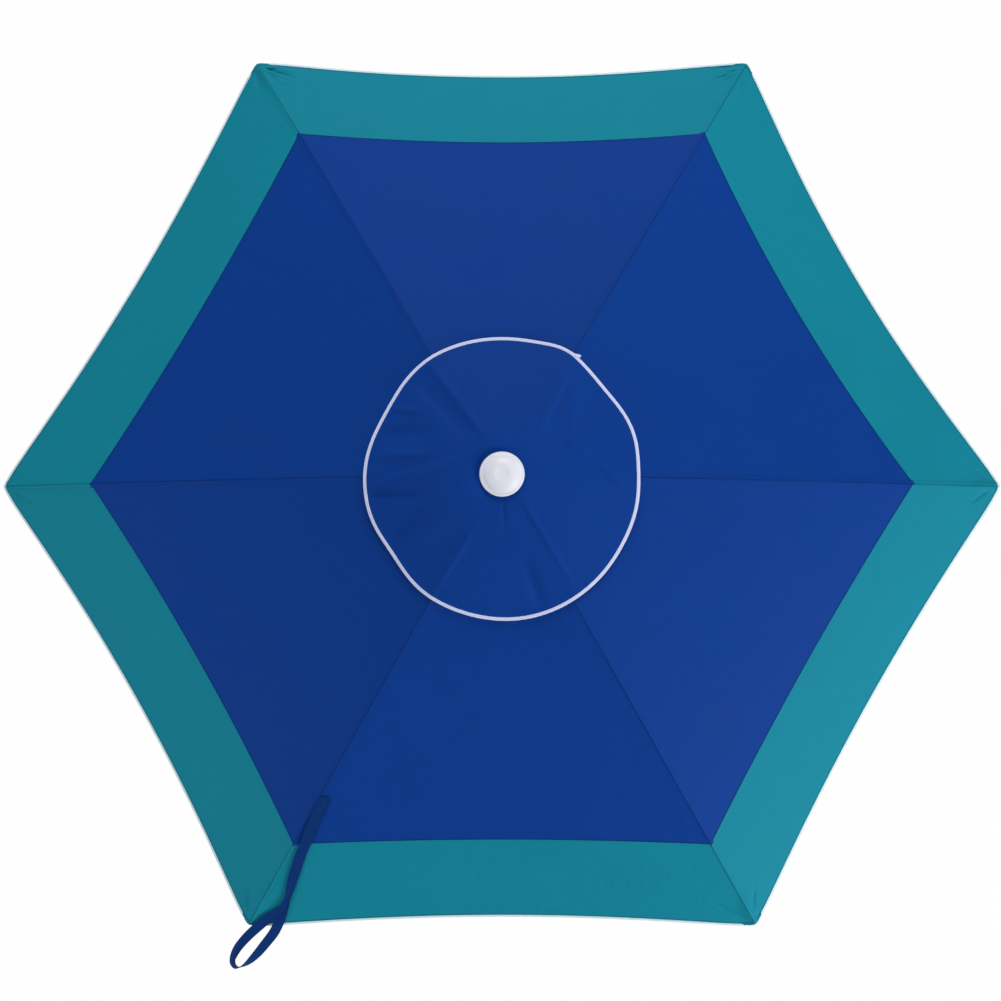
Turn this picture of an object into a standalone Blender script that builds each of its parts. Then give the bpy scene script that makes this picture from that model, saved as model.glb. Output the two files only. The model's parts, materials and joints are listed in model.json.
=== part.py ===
"""A six-rib beach umbrella, standing open on its ground spike, in metres with +Z up the pole.

The origin is the middle of the spike's blunt end. Rib 1 points along +X and the others follow every
60 degrees. Every piece that moves hangs from an empty that sits on its joint.
"""

import math

import bmesh
import bpy
from mathutils import Matrix, Vector

# Canopy and frame
RIB_COUNT = 6
CORNER_RADIUS = 0.870  # pole axis to the end of a rib
RIB_DROP = 0.260  # crown hinge down to the end of a rib
RIB_BOW = 0.018  # how far a rib arches above its straight line
STRETCHER_JOINT_RADIUS = 0.410  # pole axis to the joint of rib and stretcher
STRETCHER_JOINT_DROP = 0.012  # rib centreline down to that joint
CLOSING_ANGLE = math.radians(68)  # how far a rib swings down when the umbrella is folded
HINGE_RADIUS = 0.026  # pole axis to the wire rings that the ribs and stretchers turn on

# Cloth
CLOTH_THICKNESS = 0.0014
BAND_WIDTH = 0.160  # the teal band, along a rib's distance from the pole
VENT_RADIUS = 0.130  # opening in the main cloth, at the ribs
CAP_RADIUS = 0.228
CAP_HOLE_ROOM = 0.002  # pole to the edge of the cap's hole
CAP_FLAT_MARGIN = 0.010  # the cap lies flat this far past the crown hub
CAP_SCALLOP = 0.006  # the cap's edge dips this far between ribs
VENT_GAP = 0.003  # air between the cap's edge and the main cloth at the ribs
PANEL_SAG = 0.010  # at the hem
HEM_HOLLOW = 0.020  # the hem curves inwards by this share of its distance from the pole
STRAP_RIB = 5
STRAP_WIDTH = 0.018
STRAP_THICKNESS = 0.0012
STRAP_LAYER_GAP = 0.0006

# Rods, rings and their small fittings
ROD_RADIUS = 0.0025
EYE_RADIUS = 0.005
EYE_THICKNESS = 0.0044
WIRE_RADIUS = 0.0012
RIVET_RADIUS = 0.002
RIVET_HEAD_RADIUS = 0.0034
RIVET_HEAD_THICKNESS = 0.0012
BRACKET_LENGTH = 0.018
BRACKET_HALF_WIDTH = 0.0048
BRACKET_CHEEK_RADIUS = 0.006
TIP_RADIUS = 0.005
TIP_LENGTH = 0.025
TIP_END_WALL = 0.005

# Crown, runner and finial
FLANGE_LIP = 0.004  # hinge ring out to the edge of the crown hub and the runner
HUB_ABOVE_HINGE = 0.006
HUB_BELOW_HINGE = 0.014
CROWN_PIN_RADIUS = 0.0016
CROWN_PIN_DROP = 0.0085  # hinge ring down to the crown pin
CROWN_PIN_LENGTH = 0.046
RUNNER_FLANGE_DEPTH = 0.012
RUNNER_WALL = 0.0041
RUNNER_LENGTH = 0.065  # stretcher hinge down to the runner's lower edge
RUNNER_LIP_HEIGHT = 0.004
FINIAL_RADIUS = 0.036
FINIAL_HEIGHT = 0.020
FINIAL_STUD_RADIUS = 0.004
FINIAL_STUD_LENGTH = 0.008

# Pole
TIP_ROOM = 0.045  # folded rib tips stay this far above the tilt joint
POLE_RADIUS = 0.0125  # upper and middle tubes
POLE_WALL = 0.001
LOWER_POLE_WALL = 0.0012
LOWER_POLE_LENGTH = 0.690
TELESCOPE_GAP = 0.0006  # middle tube to the lower tube's bore
MIDDLE_POLE_SHOWN = 0.155  # lower tube's top up to the tilt joint, at the height drawn
MIDDLE_POLE_HIDDEN = 0.300  # middle tube inside the lower one, at that height
PLUG_DEPTH = 0.035
SPIKE_LENGTH = 0.110
SPIKE_END_RADIUS = 0.004
SPIKE_COLLAR_HEIGHT = 0.015

# Height clamp
COLLAR_WALL = 0.0044
COLLAR_BELOW_TOP = 0.045
COLLAR_ABOVE_TOP = 0.015
CLAMP_BELOW_TOP = 0.020  # top of the lower tube down to the clamp screw
CLAMP_BOSS_RADIUS = 0.009
CLAMP_BOSS_PROUD = 0.007
CLAMP_BOSS_OVERLAP = 0.0008  # the boss starts this far inside the middle of the collar's wall
CLAMP_SCREW_RADIUS = 0.003
KNOB_RADIUS = 0.016
KNOB_LOBE = 0.0018
KNOB_LOBES = 6
KNOB_THICKNESS = 0.014
KNOB_GAP = 0.0012  # boss to knob

# Tilt joint
TILT_PIN_RADIUS = 0.003
TILT_PIN_HEAD_RADIUS = 0.005
TILT_PIN_HEAD_THICKNESS = 0.002
TONGUE_HALF_THICKNESS = 0.0048
TONGUE_RADIUS = 0.0125
EAR_RADIUS = 0.013
EAR_OUTER = 0.0155
TONGUE_END_GAP = 0.0012  # tongue to the floor of the fork's slot
SHOULDER_PROUD = 0.0012
SHOULDER_HEIGHT = 0.012
TONGUE_SHOULDER_RISE = 0.018
FORK_SHOULDER_DROP = 0.028
BUTTON_RADIUS = 0.0066
BUTTON_PROUD = 0.0025
BUTTON_SEAT_DEPTH = 0.007
BUTTON_THICKNESS = 0.0055
SPRING_RADIUS = 0.0045
SPRING_WIRE_RADIUS = 0.00035
SPRING_TURNS = 2.0

# Runner catch
CATCH_LENGTH = 0.045
CATCH_HALF_THICKNESS = 0.0015
CATCH_PROUD = 0.0035
CATCH_DEPTH = 0.007
CATCH_PIN_RADIUS = 0.0012
CATCH_PIVOT_RADIUS = 0.0035

# Fits
GAP = 0.0003  # between pieces that touch
SLIDE_GAP = 0.0004  # between pieces that slide
CLOTH_GAP = 0.0006  # cloth to what it lies on
CUT = 0.020  # how far a cutter runs past what it cuts

# Facets
POLE_STEPS = 24
RING_STEPS = 24
WIRE_STEPS = 6
PIN_STEPS = 12
SMALL_STEPS = 8  # rivets and the holes for wire and rivets
BORE_STEPS = 10  # round a rod
ROUND_END_SPANS = 12
CATCH_END_SPANS = 8
CHEEK_SPANS = 6
TIP_SPANS = 3
DOME_STEPS = 6
SPRING_STEPS = 9  # in a turn
LOBE_STEPS = 6
ROD_SPANS = 12
STRAP_SPANS = 4  # between two rows of the strap's path
CAP_RINGS = 4
GORE_COLUMNS = 4  # on each side of a rib
BLUE_ROWS = 5
BAND_ROWS = 2
WELD = 0.00001

# Sizes that follow from those above
RIB_REACH = CORNER_RADIUS - HINGE_RADIUS
BAND_JOIN_RADIUS = CORNER_RADIUS - BAND_WIDTH  # blue cloth inside it, teal band outside
POLE_BORE = POLE_RADIUS - POLE_WALL
LOWER_POLE_BORE = POLE_RADIUS + TELESCOPE_GAP
LOWER_POLE_RADIUS = LOWER_POLE_BORE + LOWER_POLE_WALL
LOWER_POLE_TOP = SPIKE_LENGTH + LOWER_POLE_LENGTH
MIDDLE_POLE_BOTTOM = LOWER_POLE_TOP - MIDDLE_POLE_HIDDEN
TILT_HEIGHT = LOWER_POLE_TOP + MIDDLE_POLE_SHOWN  # ground to the tilt joint
COLLAR_BORE = LOWER_POLE_RADIUS + GAP
COLLAR_RADIUS = COLLAR_BORE + COLLAR_WALL
CLAMP_BOSS_REACH = COLLAR_RADIUS + CLAMP_BOSS_PROUD
SHOULDER_RADIUS = POLE_RADIUS + SHOULDER_PROUD
FLANGE_RADIUS = HINGE_RADIUS + FLANGE_LIP
RUNNER_SLEEVE_RADIUS = POLE_RADIUS + SLIDE_GAP + RUNNER_WALL
CAP_HOLE_RADIUS = POLE_RADIUS + CAP_HOLE_ROOM
CAP_FLAT_RADIUS = FLANGE_RADIUS + CAP_FLAT_MARGIN
PLUG_RADIUS = POLE_BORE - GAP
SLOT_WIDTH = 2 * (ROD_RADIUS + SLIDE_GAP)
WIRE_HOLE_RADIUS = WIRE_RADIUS + SLIDE_GAP
GROOVE_HALF_HEIGHT = WIRE_RADIUS + GAP
GROOVE_RADIUS = HINGE_RADIUS - WIRE_RADIUS - GAP
SLOT_FLOOR_RADIUS = HINGE_RADIUS - EYE_RADIUS - 2 * SLIDE_GAP
CLOTH_LIFT = max(TIP_RADIUS, BRACKET_HALF_WIDTH) + CLOTH_GAP
SLOT_HALF_WIDTH = TONGUE_HALF_THICKNESS + GAP
CLAMP_HEIGHT = LOWER_POLE_TOP - CLAMP_BELOW_TOP
MIDDLE_POLE_TOP = TILT_HEIGHT - FORK_SHOULDER_DROP - SHOULDER_HEIGHT - GAP
UPPER_POLE_BOTTOM = TONGUE_SHOULDER_RISE + SHOULDER_HEIGHT + GAP
CAP_UNDERSIDE = HUB_ABOVE_HINGE + GAP
FINIAL_UNDERSIDE = CAP_UNDERSIDE + CLOTH_THICKNESS + GAP


def rib_height(radius):
    """Height of a rib's centreline over its hinge, at a distance from the pole axis."""
    share = (radius - HINGE_RADIUS) / RIB_REACH
    return -RIB_DROP * share + 4 * RIB_BOW * share * (1 - share)


def rib_slope(radius):
    """Angle of a rib above the horizontal, at a distance from the pole axis."""
    share = (radius - HINGE_RADIUS) / RIB_REACH
    return math.atan((-RIB_DROP + 4 * RIB_BOW * (1 - 2 * share)) / RIB_REACH)


def stretcher_joint():
    """The joint of rib and stretcher, from the rib's hinge: outwards and up."""
    slope = rib_slope(STRETCHER_JOINT_RADIUS)
    out = STRETCHER_JOINT_RADIUS + STRETCHER_JOINT_DROP * math.sin(slope) - HINGE_RADIUS
    up = rib_height(STRETCHER_JOINT_RADIUS) - STRETCHER_JOINT_DROP * math.cos(slope)
    return Vector((out, 0, up))


def folded_depth():
    """How far the folded rib tips hang below the crown hinge."""
    tip_angle = math.atan2(RIB_DROP, RIB_REACH) + CLOSING_ANGLE
    return math.hypot(RIB_REACH, RIB_DROP) * math.sin(tip_angle)


JOINT = stretcher_joint()
RUNNER_DROP = -2 * JOINT.z  # crown hinge down to the runner's hinge: equal arms
CROWN_RISE = folded_depth() + TIP_ROOM  # tilt joint up to the crown hinge
RUNNER_FOOT = CROWN_RISE - RUNNER_DROP - RUNNER_LENGTH  # runner's lower edge over the tilt joint


def cloth_ridge(radius):
    """Height of the cloth's underside along a rib, over the crown hinge."""
    return rib_height(radius) + CLOTH_LIFT / math.cos(rib_slope(radius))


def cloth_point(radius, share):
    """A point of the cloth's underside between a rib along +X (share 0) and the next one (share 1)."""
    turn = math.tau / RIB_COUNT
    along = radius * (1 - share + share * math.cos(turn))
    across = radius * share * math.sin(turn)
    sag = PANEL_SAG * radius / CORNER_RADIUS * 4 * share * (1 - share)
    return Vector((along, across, cloth_ridge(radius) - sag))


def cloth_over(along, across):
    """Height of the cloth's underside beside a rib along +X, over the crown hinge."""
    turn = math.tau / RIB_COUNT
    next_part = abs(across) / math.sin(turn)
    radius = along + next_part * (1 - math.cos(turn))
    return cloth_point(radius, next_part / radius).z


def cloth_roll(along, across):
    """How steeply the cloth falls away from a rib along +X, in degrees."""
    step = STRAP_WIDTH / 2
    fall = cloth_over(along, across) - cloth_over(along, across + step)
    return math.degrees(math.atan2(fall, step))


# Scene helpers


def new_collection(name):
    collection = bpy.data.collections.new(name)
    bpy.context.scene.collection.children.link(collection)
    return collection


def clear_scene():
    for thing in list(bpy.data.objects):
        bpy.data.objects.remove(thing)


def new_material(name, colour, roughness, metallic=0.0):
    material = bpy.data.materials.new(name)
    material.use_nodes = True
    shader = material.node_tree.nodes["Principled BSDF"]
    shader.inputs["Base Color"].default_value = (*colour, 1)
    shader.inputs["Roughness"].default_value = roughness
    shader.inputs["Metallic"].default_value = metallic
    return material


clear_scene()
PARTS = new_collection("beach_umbrella")
CUTTERS = new_collection("cutters")
BLUE_CLOTH = new_material("blue_cloth", (0.012, 0.045, 0.26), 0.85)
TEAL_CLOTH = new_material("teal_cloth", (0.012, 0.23, 0.29), 0.85)
WHITE_PLASTIC = new_material("white_plastic", (0.80, 0.81, 0.84), 0.45)
WHITE_STEEL = new_material("white_painted_steel", (0.78, 0.79, 0.80), 0.40)
BARE_STEEL = new_material("zinc_plated_steel", (0.62, 0.63, 0.65), 0.35, 1.0)


def empty(name, parent=None, location=(0, 0, 0), rotation=(0, 0, 0)):
    thing = bpy.data.objects.new(name, None)
    PARTS.objects.link(thing)
    thing.parent = parent
    thing.location = location
    thing.rotation_euler = rotation
    return thing


def part(name, data, material, parent=None, location=(0, 0, 0), rotation=(0, 0, 0)):
    thing = bpy.data.objects.new(name, data)
    PARTS.objects.link(thing)
    thing.parent = parent
    thing.location = location
    thing.rotation_euler = rotation
    if not data.materials:
        data.materials.append(material)
    return thing


def as_cutter(thing):
    """Moves an object out of the parts, so that it only shapes another one."""
    PARTS.objects.unlink(thing)
    CUTTERS.objects.link(thing)
    thing.hide_render = True
    thing.display_type = "WIRE"
    return thing


def combine(thing, other, operation="DIFFERENCE"):
    boolean = thing.modifiers.new(other.name, "BOOLEAN")
    boolean.operation = operation
    boolean.object = as_cutter(other)


def finished_mesh(thing):
    """The mesh of an object with its modifiers and its turn applied. The object goes."""
    evaluated = thing.evaluated_get(bpy.context.evaluated_depsgraph_get())
    mesh = bpy.data.meshes.new_from_object(evaluated)
    mesh.transform(evaluated.matrix_world)
    bpy.data.objects.remove(thing)
    return mesh


def mesh_from(name, bm):
    mesh = bpy.data.meshes.new(name)
    bm.to_mesh(mesh)
    bm.free()
    return mesh


def profile_mesh(name, profile, closed):
    bm = bmesh.new()
    corners = [bm.verts.new((radius, 0, height)) for radius, height in profile]
    for first, second in zip(corners, corners[1:] + corners[:1] * closed):
        bm.edges.new((first, second))
    return mesh_from(name, bm)


def turned(name, profile, material, steps, closed=False, **place):
    """A profile of (radius, height), top to bottom on its outer side, turned round the local Z axis."""
    thing = part(name, profile_mesh(name, profile, closed), material, **place)
    screw = thing.modifiers.new("turn", "SCREW")
    screw.steps = steps
    screw.render_steps = steps
    screw.use_merge_vertices = True
    screw.merge_threshold = WELD
    screw.use_smooth_shade = True
    return thing


def tube(name, outer, bore, bottom, top, material, **place):
    profile = [(outer, top), (outer, bottom), (bore, bottom), (bore, top)]
    return turned(name, profile, material, POLE_STEPS, closed=True, **place)


def cylinder_mesh(name, radius, low, high, steps=PIN_STEPS):
    """A cylinder along the local Z axis."""
    bm = bmesh.new()
    bmesh.ops.create_cone(
        bm, cap_ends=True, segments=steps, radius1=radius, radius2=radius, depth=high - low
    )
    bmesh.ops.translate(bm, vec=(0, 0, (low + high) / 2), verts=bm.verts)
    return mesh_from(name, bm)


def box_mesh(name, low, high):
    bm = bmesh.new()
    low, high = Vector(low), Vector(high)
    bmesh.ops.create_cube(bm, size=1)
    bmesh.ops.scale(bm, vec=high - low, verts=bm.verts)
    bmesh.ops.translate(bm, vec=(low + high) / 2, verts=bm.verts)
    return mesh_from(name, bm)


def rod(name, points, radius, material, **place):
    curve = bpy.data.curves.new(name, "CURVE")
    curve.dimensions = "3D"
    curve.bevel_depth = radius
    curve.bevel_resolution = 1
    curve.use_fill_caps = True
    spline = curve.splines.new("POLY")
    spline.points.add(len(points) - 1)
    for knot, point in zip(spline.points, points):
        knot.co = (*point, 1)
    return part(name, curve, material, **place)


def welded(thing):
    """The same curve object as a mesh with its caps joined on, ready to be cut or joined."""
    graph = bpy.context.evaluated_depsgraph_get()
    mesh = bpy.data.meshes.new_from_object(thing.evaluated_get(graph))
    bm = bmesh.new()
    bm.from_mesh(mesh)
    bmesh.ops.remove_doubles(bm, verts=bm.verts, dist=WELD / 10)
    bmesh.ops.recalc_face_normals(bm, faces=bm.faces)
    bm.to_mesh(mesh)
    bm.free()
    solid = bpy.data.objects.new(thing.name, mesh)
    PARTS.objects.link(solid)
    solid.matrix_world = thing.matrix_world
    bpy.data.objects.remove(thing)
    return solid


def plate(name, outline, half_thickness, material, **place):
    """A flat outline of (x, y), thick along the local Z axis, as a mesh."""
    curve = bpy.data.curves.new(name, "CURVE")
    curve.dimensions = "2D"
    curve.fill_mode = "BOTH"
    curve.extrude = half_thickness
    spline = curve.splines.new("POLY")
    spline.points.add(len(outline) - 1)
    for knot, point in zip(spline.points, outline):
        knot.co = (*point, 0, 1)
    spline.use_cyclic_u = True
    solid = welded(part(name, curve, material))
    mesh = solid.data
    bpy.data.objects.remove(solid)
    return part(name, mesh, material, **place)


def arc(centre, radius, start, end, spans):
    """Points on a circle, from one angle to another in degrees."""
    angles = [math.radians(start + (end - start) * i / spans) for i in range(spans + 1)]
    return [(centre[0] + radius * math.cos(a), centre[1] + radius * math.sin(a)) for a in angles]


ALONG_X = (0, math.pi / 2, 0)  # turns local Z to +X
ALONG_Y = (-math.pi / 2, 0, 0)  # turns local Z to +Y
SIDE_ON = (math.pi / 2, 0, math.pi / 2)  # turns a plate's x to +Y and its y to +Z


# Lower pole


def make_lower_pole():
    seat = SPIKE_LENGTH
    collar = seat - SPIKE_COLLAR_HEIGHT
    stub = LOWER_POLE_BORE - GAP
    turned(
        "ground_spike",
        [
            (0, seat + PLUG_DEPTH),
            (stub, seat + PLUG_DEPTH),
            (stub, seat),
            (LOWER_POLE_RADIUS, seat),
            (LOWER_POLE_RADIUS, collar),
            (SPIKE_END_RADIUS, 0),
            (0, 0),
        ],
        WHITE_PLASTIC,
        POLE_STEPS,
    )
    lower = tube(
        "lower_pole_tube",
        LOWER_POLE_RADIUS,
        LOWER_POLE_BORE,
        seat + GAP,
        LOWER_POLE_TOP,
        WHITE_STEEL,
    )
    collar = turned(
        "clamp_collar",
        [
            (COLLAR_RADIUS, LOWER_POLE_TOP + COLLAR_ABOVE_TOP),
            (COLLAR_RADIUS, LOWER_POLE_TOP - COLLAR_BELOW_TOP),
            (COLLAR_BORE, LOWER_POLE_TOP - COLLAR_BELOW_TOP),
            (COLLAR_BORE, LOWER_POLE_TOP + GAP),
            (POLE_RADIUS + SLIDE_GAP, LOWER_POLE_TOP + GAP),
            (POLE_RADIUS + SLIDE_GAP, LOWER_POLE_TOP + COLLAR_ABOVE_TOP),
        ],
        WHITE_PLASTIC,
        POLE_STEPS,
        closed=True,
    )
    across = {"location": (0, 0, CLAMP_HEIGHT), "rotation": ALONG_X}
    boss_start = (COLLAR_BORE + COLLAR_RADIUS) / 2 - CLAMP_BOSS_OVERLAP
    boss = cylinder_mesh("clamp_boss", CLAMP_BOSS_RADIUS, boss_start, CLAMP_BOSS_REACH, POLE_STEPS)
    combine(collar, part("clamp_boss", boss, WHITE_PLASTIC, **across), "UNION")
    hole_radius = CLAMP_SCREW_RADIUS + GAP
    for wall in (collar, lower):
        name = wall.name + "_hole"
        hole = cylinder_mesh(name, hole_radius, POLE_RADIUS / 2, CLAMP_BOSS_REACH + CUT)
        combine(wall, part(name, hole, WHITE_PLASTIC, **across))


def make_clamp_knob():
    axis = empty("clamp_knob_axis", location=(0, 0, CLAMP_HEIGHT), rotation=ALONG_X)
    points = LOBE_STEPS * KNOB_LOBES
    turns = [math.tau * i / points for i in range(points)]
    radii = [KNOB_RADIUS - KNOB_LOBE + KNOB_LOBE * math.cos(KNOB_LOBES * a) for a in turns]
    outline = [(r * math.cos(a), r * math.sin(a)) for r, a in zip(radii, turns)]
    middle = CLAMP_BOSS_REACH + KNOB_GAP + KNOB_THICKNESS / 2
    knob = plate(
        "clamp_knob",
        outline,
        KNOB_THICKNESS / 2,
        WHITE_PLASTIC,
        parent=axis,
        location=(0, 0, middle),
    )
    screw = cylinder_mesh("clamp_screw", CLAMP_SCREW_RADIUS, POLE_RADIUS + GAP, middle)
    combine(knob, part("clamp_screw", screw, BARE_STEEL, parent=axis), "UNION")


# Middle pole and tilt joint. Heights here count from the tilt joint.


def make_middle_pole(frame):
    bottom = MIDDLE_POLE_BOTTOM - TILT_HEIGHT
    top = MIDDLE_POLE_TOP - TILT_HEIGHT
    tube("middle_pole_tube", POLE_RADIUS, POLE_BORE, bottom, top, WHITE_STEEL, parent=frame)
    guide = LOWER_POLE_BORE - GAP
    turned(
        "middle_pole_guide",
        [
            (0, bottom + PLUG_DEPTH),
            (PLUG_RADIUS, bottom + PLUG_DEPTH),
            (PLUG_RADIUS, bottom - GAP),
            (guide, bottom - GAP),
            (guide, bottom - SHOULDER_HEIGHT),
            (0, bottom - SHOULDER_HEIGHT),
        ],
        WHITE_PLASTIC,
        POLE_STEPS,
        parent=frame,
    )


def make_tilt_fork(frame):
    shoulder = -FORK_SHOULDER_DROP
    seat = shoulder - SHOULDER_HEIGHT
    fork = turned(
        "tilt_fork",
        [
            (0, shoulder),
            (SHOULDER_RADIUS, shoulder),
            (SHOULDER_RADIUS, seat),
            (PLUG_RADIUS, seat),
            (PLUG_RADIUS, seat - PLUG_DEPTH),
            (0, seat - PLUG_DEPTH),
        ],
        WHITE_PLASTIC,
        POLE_STEPS,
        parent=frame,
    )
    foot = shoulder - SHOULDER_HEIGHT / 2
    outline = [
        (-EAR_RADIUS, foot),
        (EAR_RADIUS, foot),
        *arc((0, 0), EAR_RADIUS, 0, 180, ROUND_END_SPANS),
    ]
    ears = plate("fork_ears", outline, EAR_OUTER, WHITE_PLASTIC, parent=frame, rotation=SIDE_ON)
    combine(fork, ears, "UNION")
    slot = box_mesh(
        "fork_slot",
        (-SLOT_HALF_WIDTH, -CUT, -TONGUE_RADIUS - TONGUE_END_GAP),
        (SLOT_HALF_WIDTH, CUT, CUT),
    )
    combine(fork, part("fork_slot", slot, WHITE_PLASTIC, parent=frame))
    hole = cylinder_mesh("fork_pin_hole", TILT_PIN_RADIUS + GAP, -CUT, CUT)
    across = {"parent": frame, "rotation": ALONG_X}
    combine(fork, part("fork_pin_hole", hole, WHITE_PLASTIC, **across))
    seat_floor = EAR_OUTER - BUTTON_SEAT_DEPTH
    button_seat = cylinder_mesh("button_seat", BUTTON_RADIUS + GAP, seat_floor, CUT, POLE_STEPS)
    combine(fork, part("button_seat", button_seat, WHITE_PLASTIC, **across))
    pin_end = seat_floor - GAP
    head = -EAR_OUTER - GAP
    turned(
        "tilt_pin",
        [
            (0, pin_end),
            (TILT_PIN_RADIUS, pin_end),
            (TILT_PIN_RADIUS, head),
            (TILT_PIN_HEAD_RADIUS, head),
            (TILT_PIN_HEAD_RADIUS, head - TILT_PIN_HEAD_THICKNESS),
            (0, head - TILT_PIN_HEAD_THICKNESS),
        ],
        BARE_STEEL,
        PIN_STEPS,
        **across,
    )
    make_tilt_button(frame, seat_floor)


def make_tilt_button(frame, seat_floor):
    axis = empty("tilt_button_axis", frame, rotation=ALONG_X)
    top = EAR_OUTER + BUTTON_PROUD
    under = top - BUTTON_THICKNESS
    turned(
        "tilt_button",
        [
            (0, top),
            (BUTTON_RADIUS - BUTTON_PROUD / 2, top),
            (BUTTON_RADIUS, top - BUTTON_PROUD / 2),
            (BUTTON_RADIUS, under),
            (0, under),
        ],
        WHITE_PLASTIC,
        PIN_STEPS,
        parent=axis,
    )
    low = seat_floor + GAP + SPRING_WIRE_RADIUS
    high = under - GAP - SPRING_WIRE_RADIUS
    count = round(SPRING_TURNS * SPRING_STEPS)
    points = []
    for i in range(count + 1):
        angle = math.tau * i / SPRING_STEPS
        height = low + (high - low) * i / count
        points.append((SPRING_RADIUS * math.cos(angle), SPRING_RADIUS * math.sin(angle), height))
    rod("tilt_button_spring", points, SPRING_WIRE_RADIUS, BARE_STEEL, parent=axis)
    gap = (high - low) / SPRING_TURNS - 2 * SPRING_WIRE_RADIUS
    print(f"tilt_button_spring: least gap between turns {gap * 1000:.2f} mm")


def make_tilt_tongue(frame):
    shoulder = TONGUE_SHOULDER_RISE
    seat = shoulder + SHOULDER_HEIGHT
    tongue = turned(
        "tilt_tongue",
        [
            (0, seat + PLUG_DEPTH),
            (PLUG_RADIUS, seat + PLUG_DEPTH),
            (PLUG_RADIUS, seat),
            (SHOULDER_RADIUS, seat),
            (SHOULDER_RADIUS, shoulder),
            (0, shoulder),
        ],
        WHITE_PLASTIC,
        POLE_STEPS,
        parent=frame,
    )
    head = shoulder + SHOULDER_HEIGHT / 2
    outline = [
        (TONGUE_RADIUS, head),
        (-TONGUE_RADIUS, head),
        *arc((0, 0), TONGUE_RADIUS, 180, 360, ROUND_END_SPANS),
    ]
    blade = plate(
        "tongue_blade",
        outline,
        TONGUE_HALF_THICKNESS,
        WHITE_PLASTIC,
        parent=frame,
        rotation=SIDE_ON,
    )
    combine(tongue, blade, "UNION")
    hole = cylinder_mesh("tongue_pin_hole", TILT_PIN_RADIUS + GAP, -CUT, CUT)
    combine(
        tongue, part("tongue_pin_hole", hole, WHITE_PLASTIC, parent=frame, rotation=ALONG_X)
    )


# Upper pole, runner catch and crown. Heights count from the tilt joint.


def make_upper_pole(frame):
    top = CROWN_RISE + HUB_ABOVE_HINGE
    pole = tube(
        "upper_pole_tube",
        POLE_RADIUS,
        POLE_BORE,
        UPPER_POLE_BOTTOM,
        top,
        WHITE_STEEL,
        parent=frame,
    )
    catch_top = RUNNER_FOOT - GAP
    pivot = catch_top - CATCH_LENGTH
    half = CATCH_HALF_THICKNESS + SLIDE_GAP
    slot = box_mesh(
        "catch_slot",
        (-half, -POLE_RADIUS - CUT, pivot - CATCH_PIVOT_RADIUS - SLIDE_GAP),
        (half, -POLE_BORE / 2, catch_top + CATCH_PROUD),
    )
    combine(pole, part("catch_slot", slot, WHITE_STEEL, parent=frame))
    pivot_depth = -POLE_BORE + CATCH_PIVOT_RADIUS + SLIDE_GAP
    pin_place = {"parent": frame, "location": (0, pivot_depth, pivot), "rotation": ALONG_X}
    hole = cylinder_mesh("catch_pin_hole", CATCH_PIN_RADIUS + GAP, -CUT, CUT)
    combine(pole, part("catch_pin_hole", hole, WHITE_STEEL, **pin_place))
    flush = math.sqrt(POLE_RADIUS**2 - (pivot_depth - CATCH_PIN_RADIUS) ** 2)
    pin = cylinder_mesh("catch_pin", CATCH_PIN_RADIUS, -flush, flush)
    part("catch_pin", pin, BARE_STEEL, **pin_place)
    make_runner_catch(frame, pivot_depth, pivot)
    bore = cylinder_mesh("pole_crown_pin_hole", CROWN_PIN_RADIUS + GAP, -CUT, CUT)
    place = {"location": (0, 0, CROWN_RISE - CROWN_PIN_DROP), "rotation": ALONG_Y}
    combine(pole, part("pole_crown_pin_hole", bore, WHITE_STEEL, parent=frame, **place))


def make_runner_catch(frame, depth, height):
    """A leaf in the plane through the pole axis, with its outer side towards -Y."""
    axis = empty("runner_catch_axis", frame, (0, depth, height))
    proud = -POLE_RADIUS - CATCH_PROUD - depth
    flush = -POLE_RADIUS - depth
    outline = [
        (proud, CATCH_LENGTH),
        (proud, CATCH_LENGTH - CATCH_PROUD),
        (flush, CATCH_LENGTH / 2),
        *arc((0, 0), CATCH_PIVOT_RADIUS, 180, 360, CATCH_END_SPANS),
        (CATCH_PIVOT_RADIUS, CATCH_LENGTH / 2),
        (proud + CATCH_DEPTH, CATCH_LENGTH),
    ]
    catch = plate(
        "runner_catch",
        outline,
        CATCH_HALF_THICKNESS,
        BARE_STEEL,
        parent=axis,
        rotation=SIDE_ON,
    )
    hole = cylinder_mesh("catch_hole", CATCH_PIN_RADIUS + GAP, -CUT, CUT)
    combine(catch, part("catch_hole", hole, BARE_STEEL, parent=axis, rotation=ALONG_X))


def rib_slots(name, low, high):
    """Six radial slots for the ends of ribs or stretchers, as one cutter."""
    bm = bmesh.new()
    inner, outer = SLOT_FLOOR_RADIUS, FLANGE_RADIUS + CUT
    for i in range(RIB_COUNT):
        block = bmesh.ops.create_cube(bm, size=1)["verts"]
        bmesh.ops.scale(bm, vec=(outer - inner, SLOT_WIDTH, high - low), verts=block)
        bmesh.ops.translate(bm, vec=((outer + inner) / 2, 0, (low + high) / 2), verts=block)
        turn = Matrix.Rotation(math.tau * i / RIB_COUNT, 3, "Z")
        bmesh.ops.rotate(bm, matrix=turn, verts=block)
    return mesh_from(name, bm)


def wire_ring(name, parent, location):
    bpy.ops.mesh.primitive_torus_add(
        major_radius=HINGE_RADIUS,
        minor_radius=WIRE_RADIUS,
        major_segments=RING_STEPS,
        minor_segments=WIRE_STEPS,
    )
    torus = bpy.context.object
    mesh = torus.data
    bpy.data.objects.remove(torus)
    mesh.shade_smooth()
    part(name, mesh, BARE_STEEL, parent=parent, location=location)


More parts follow.
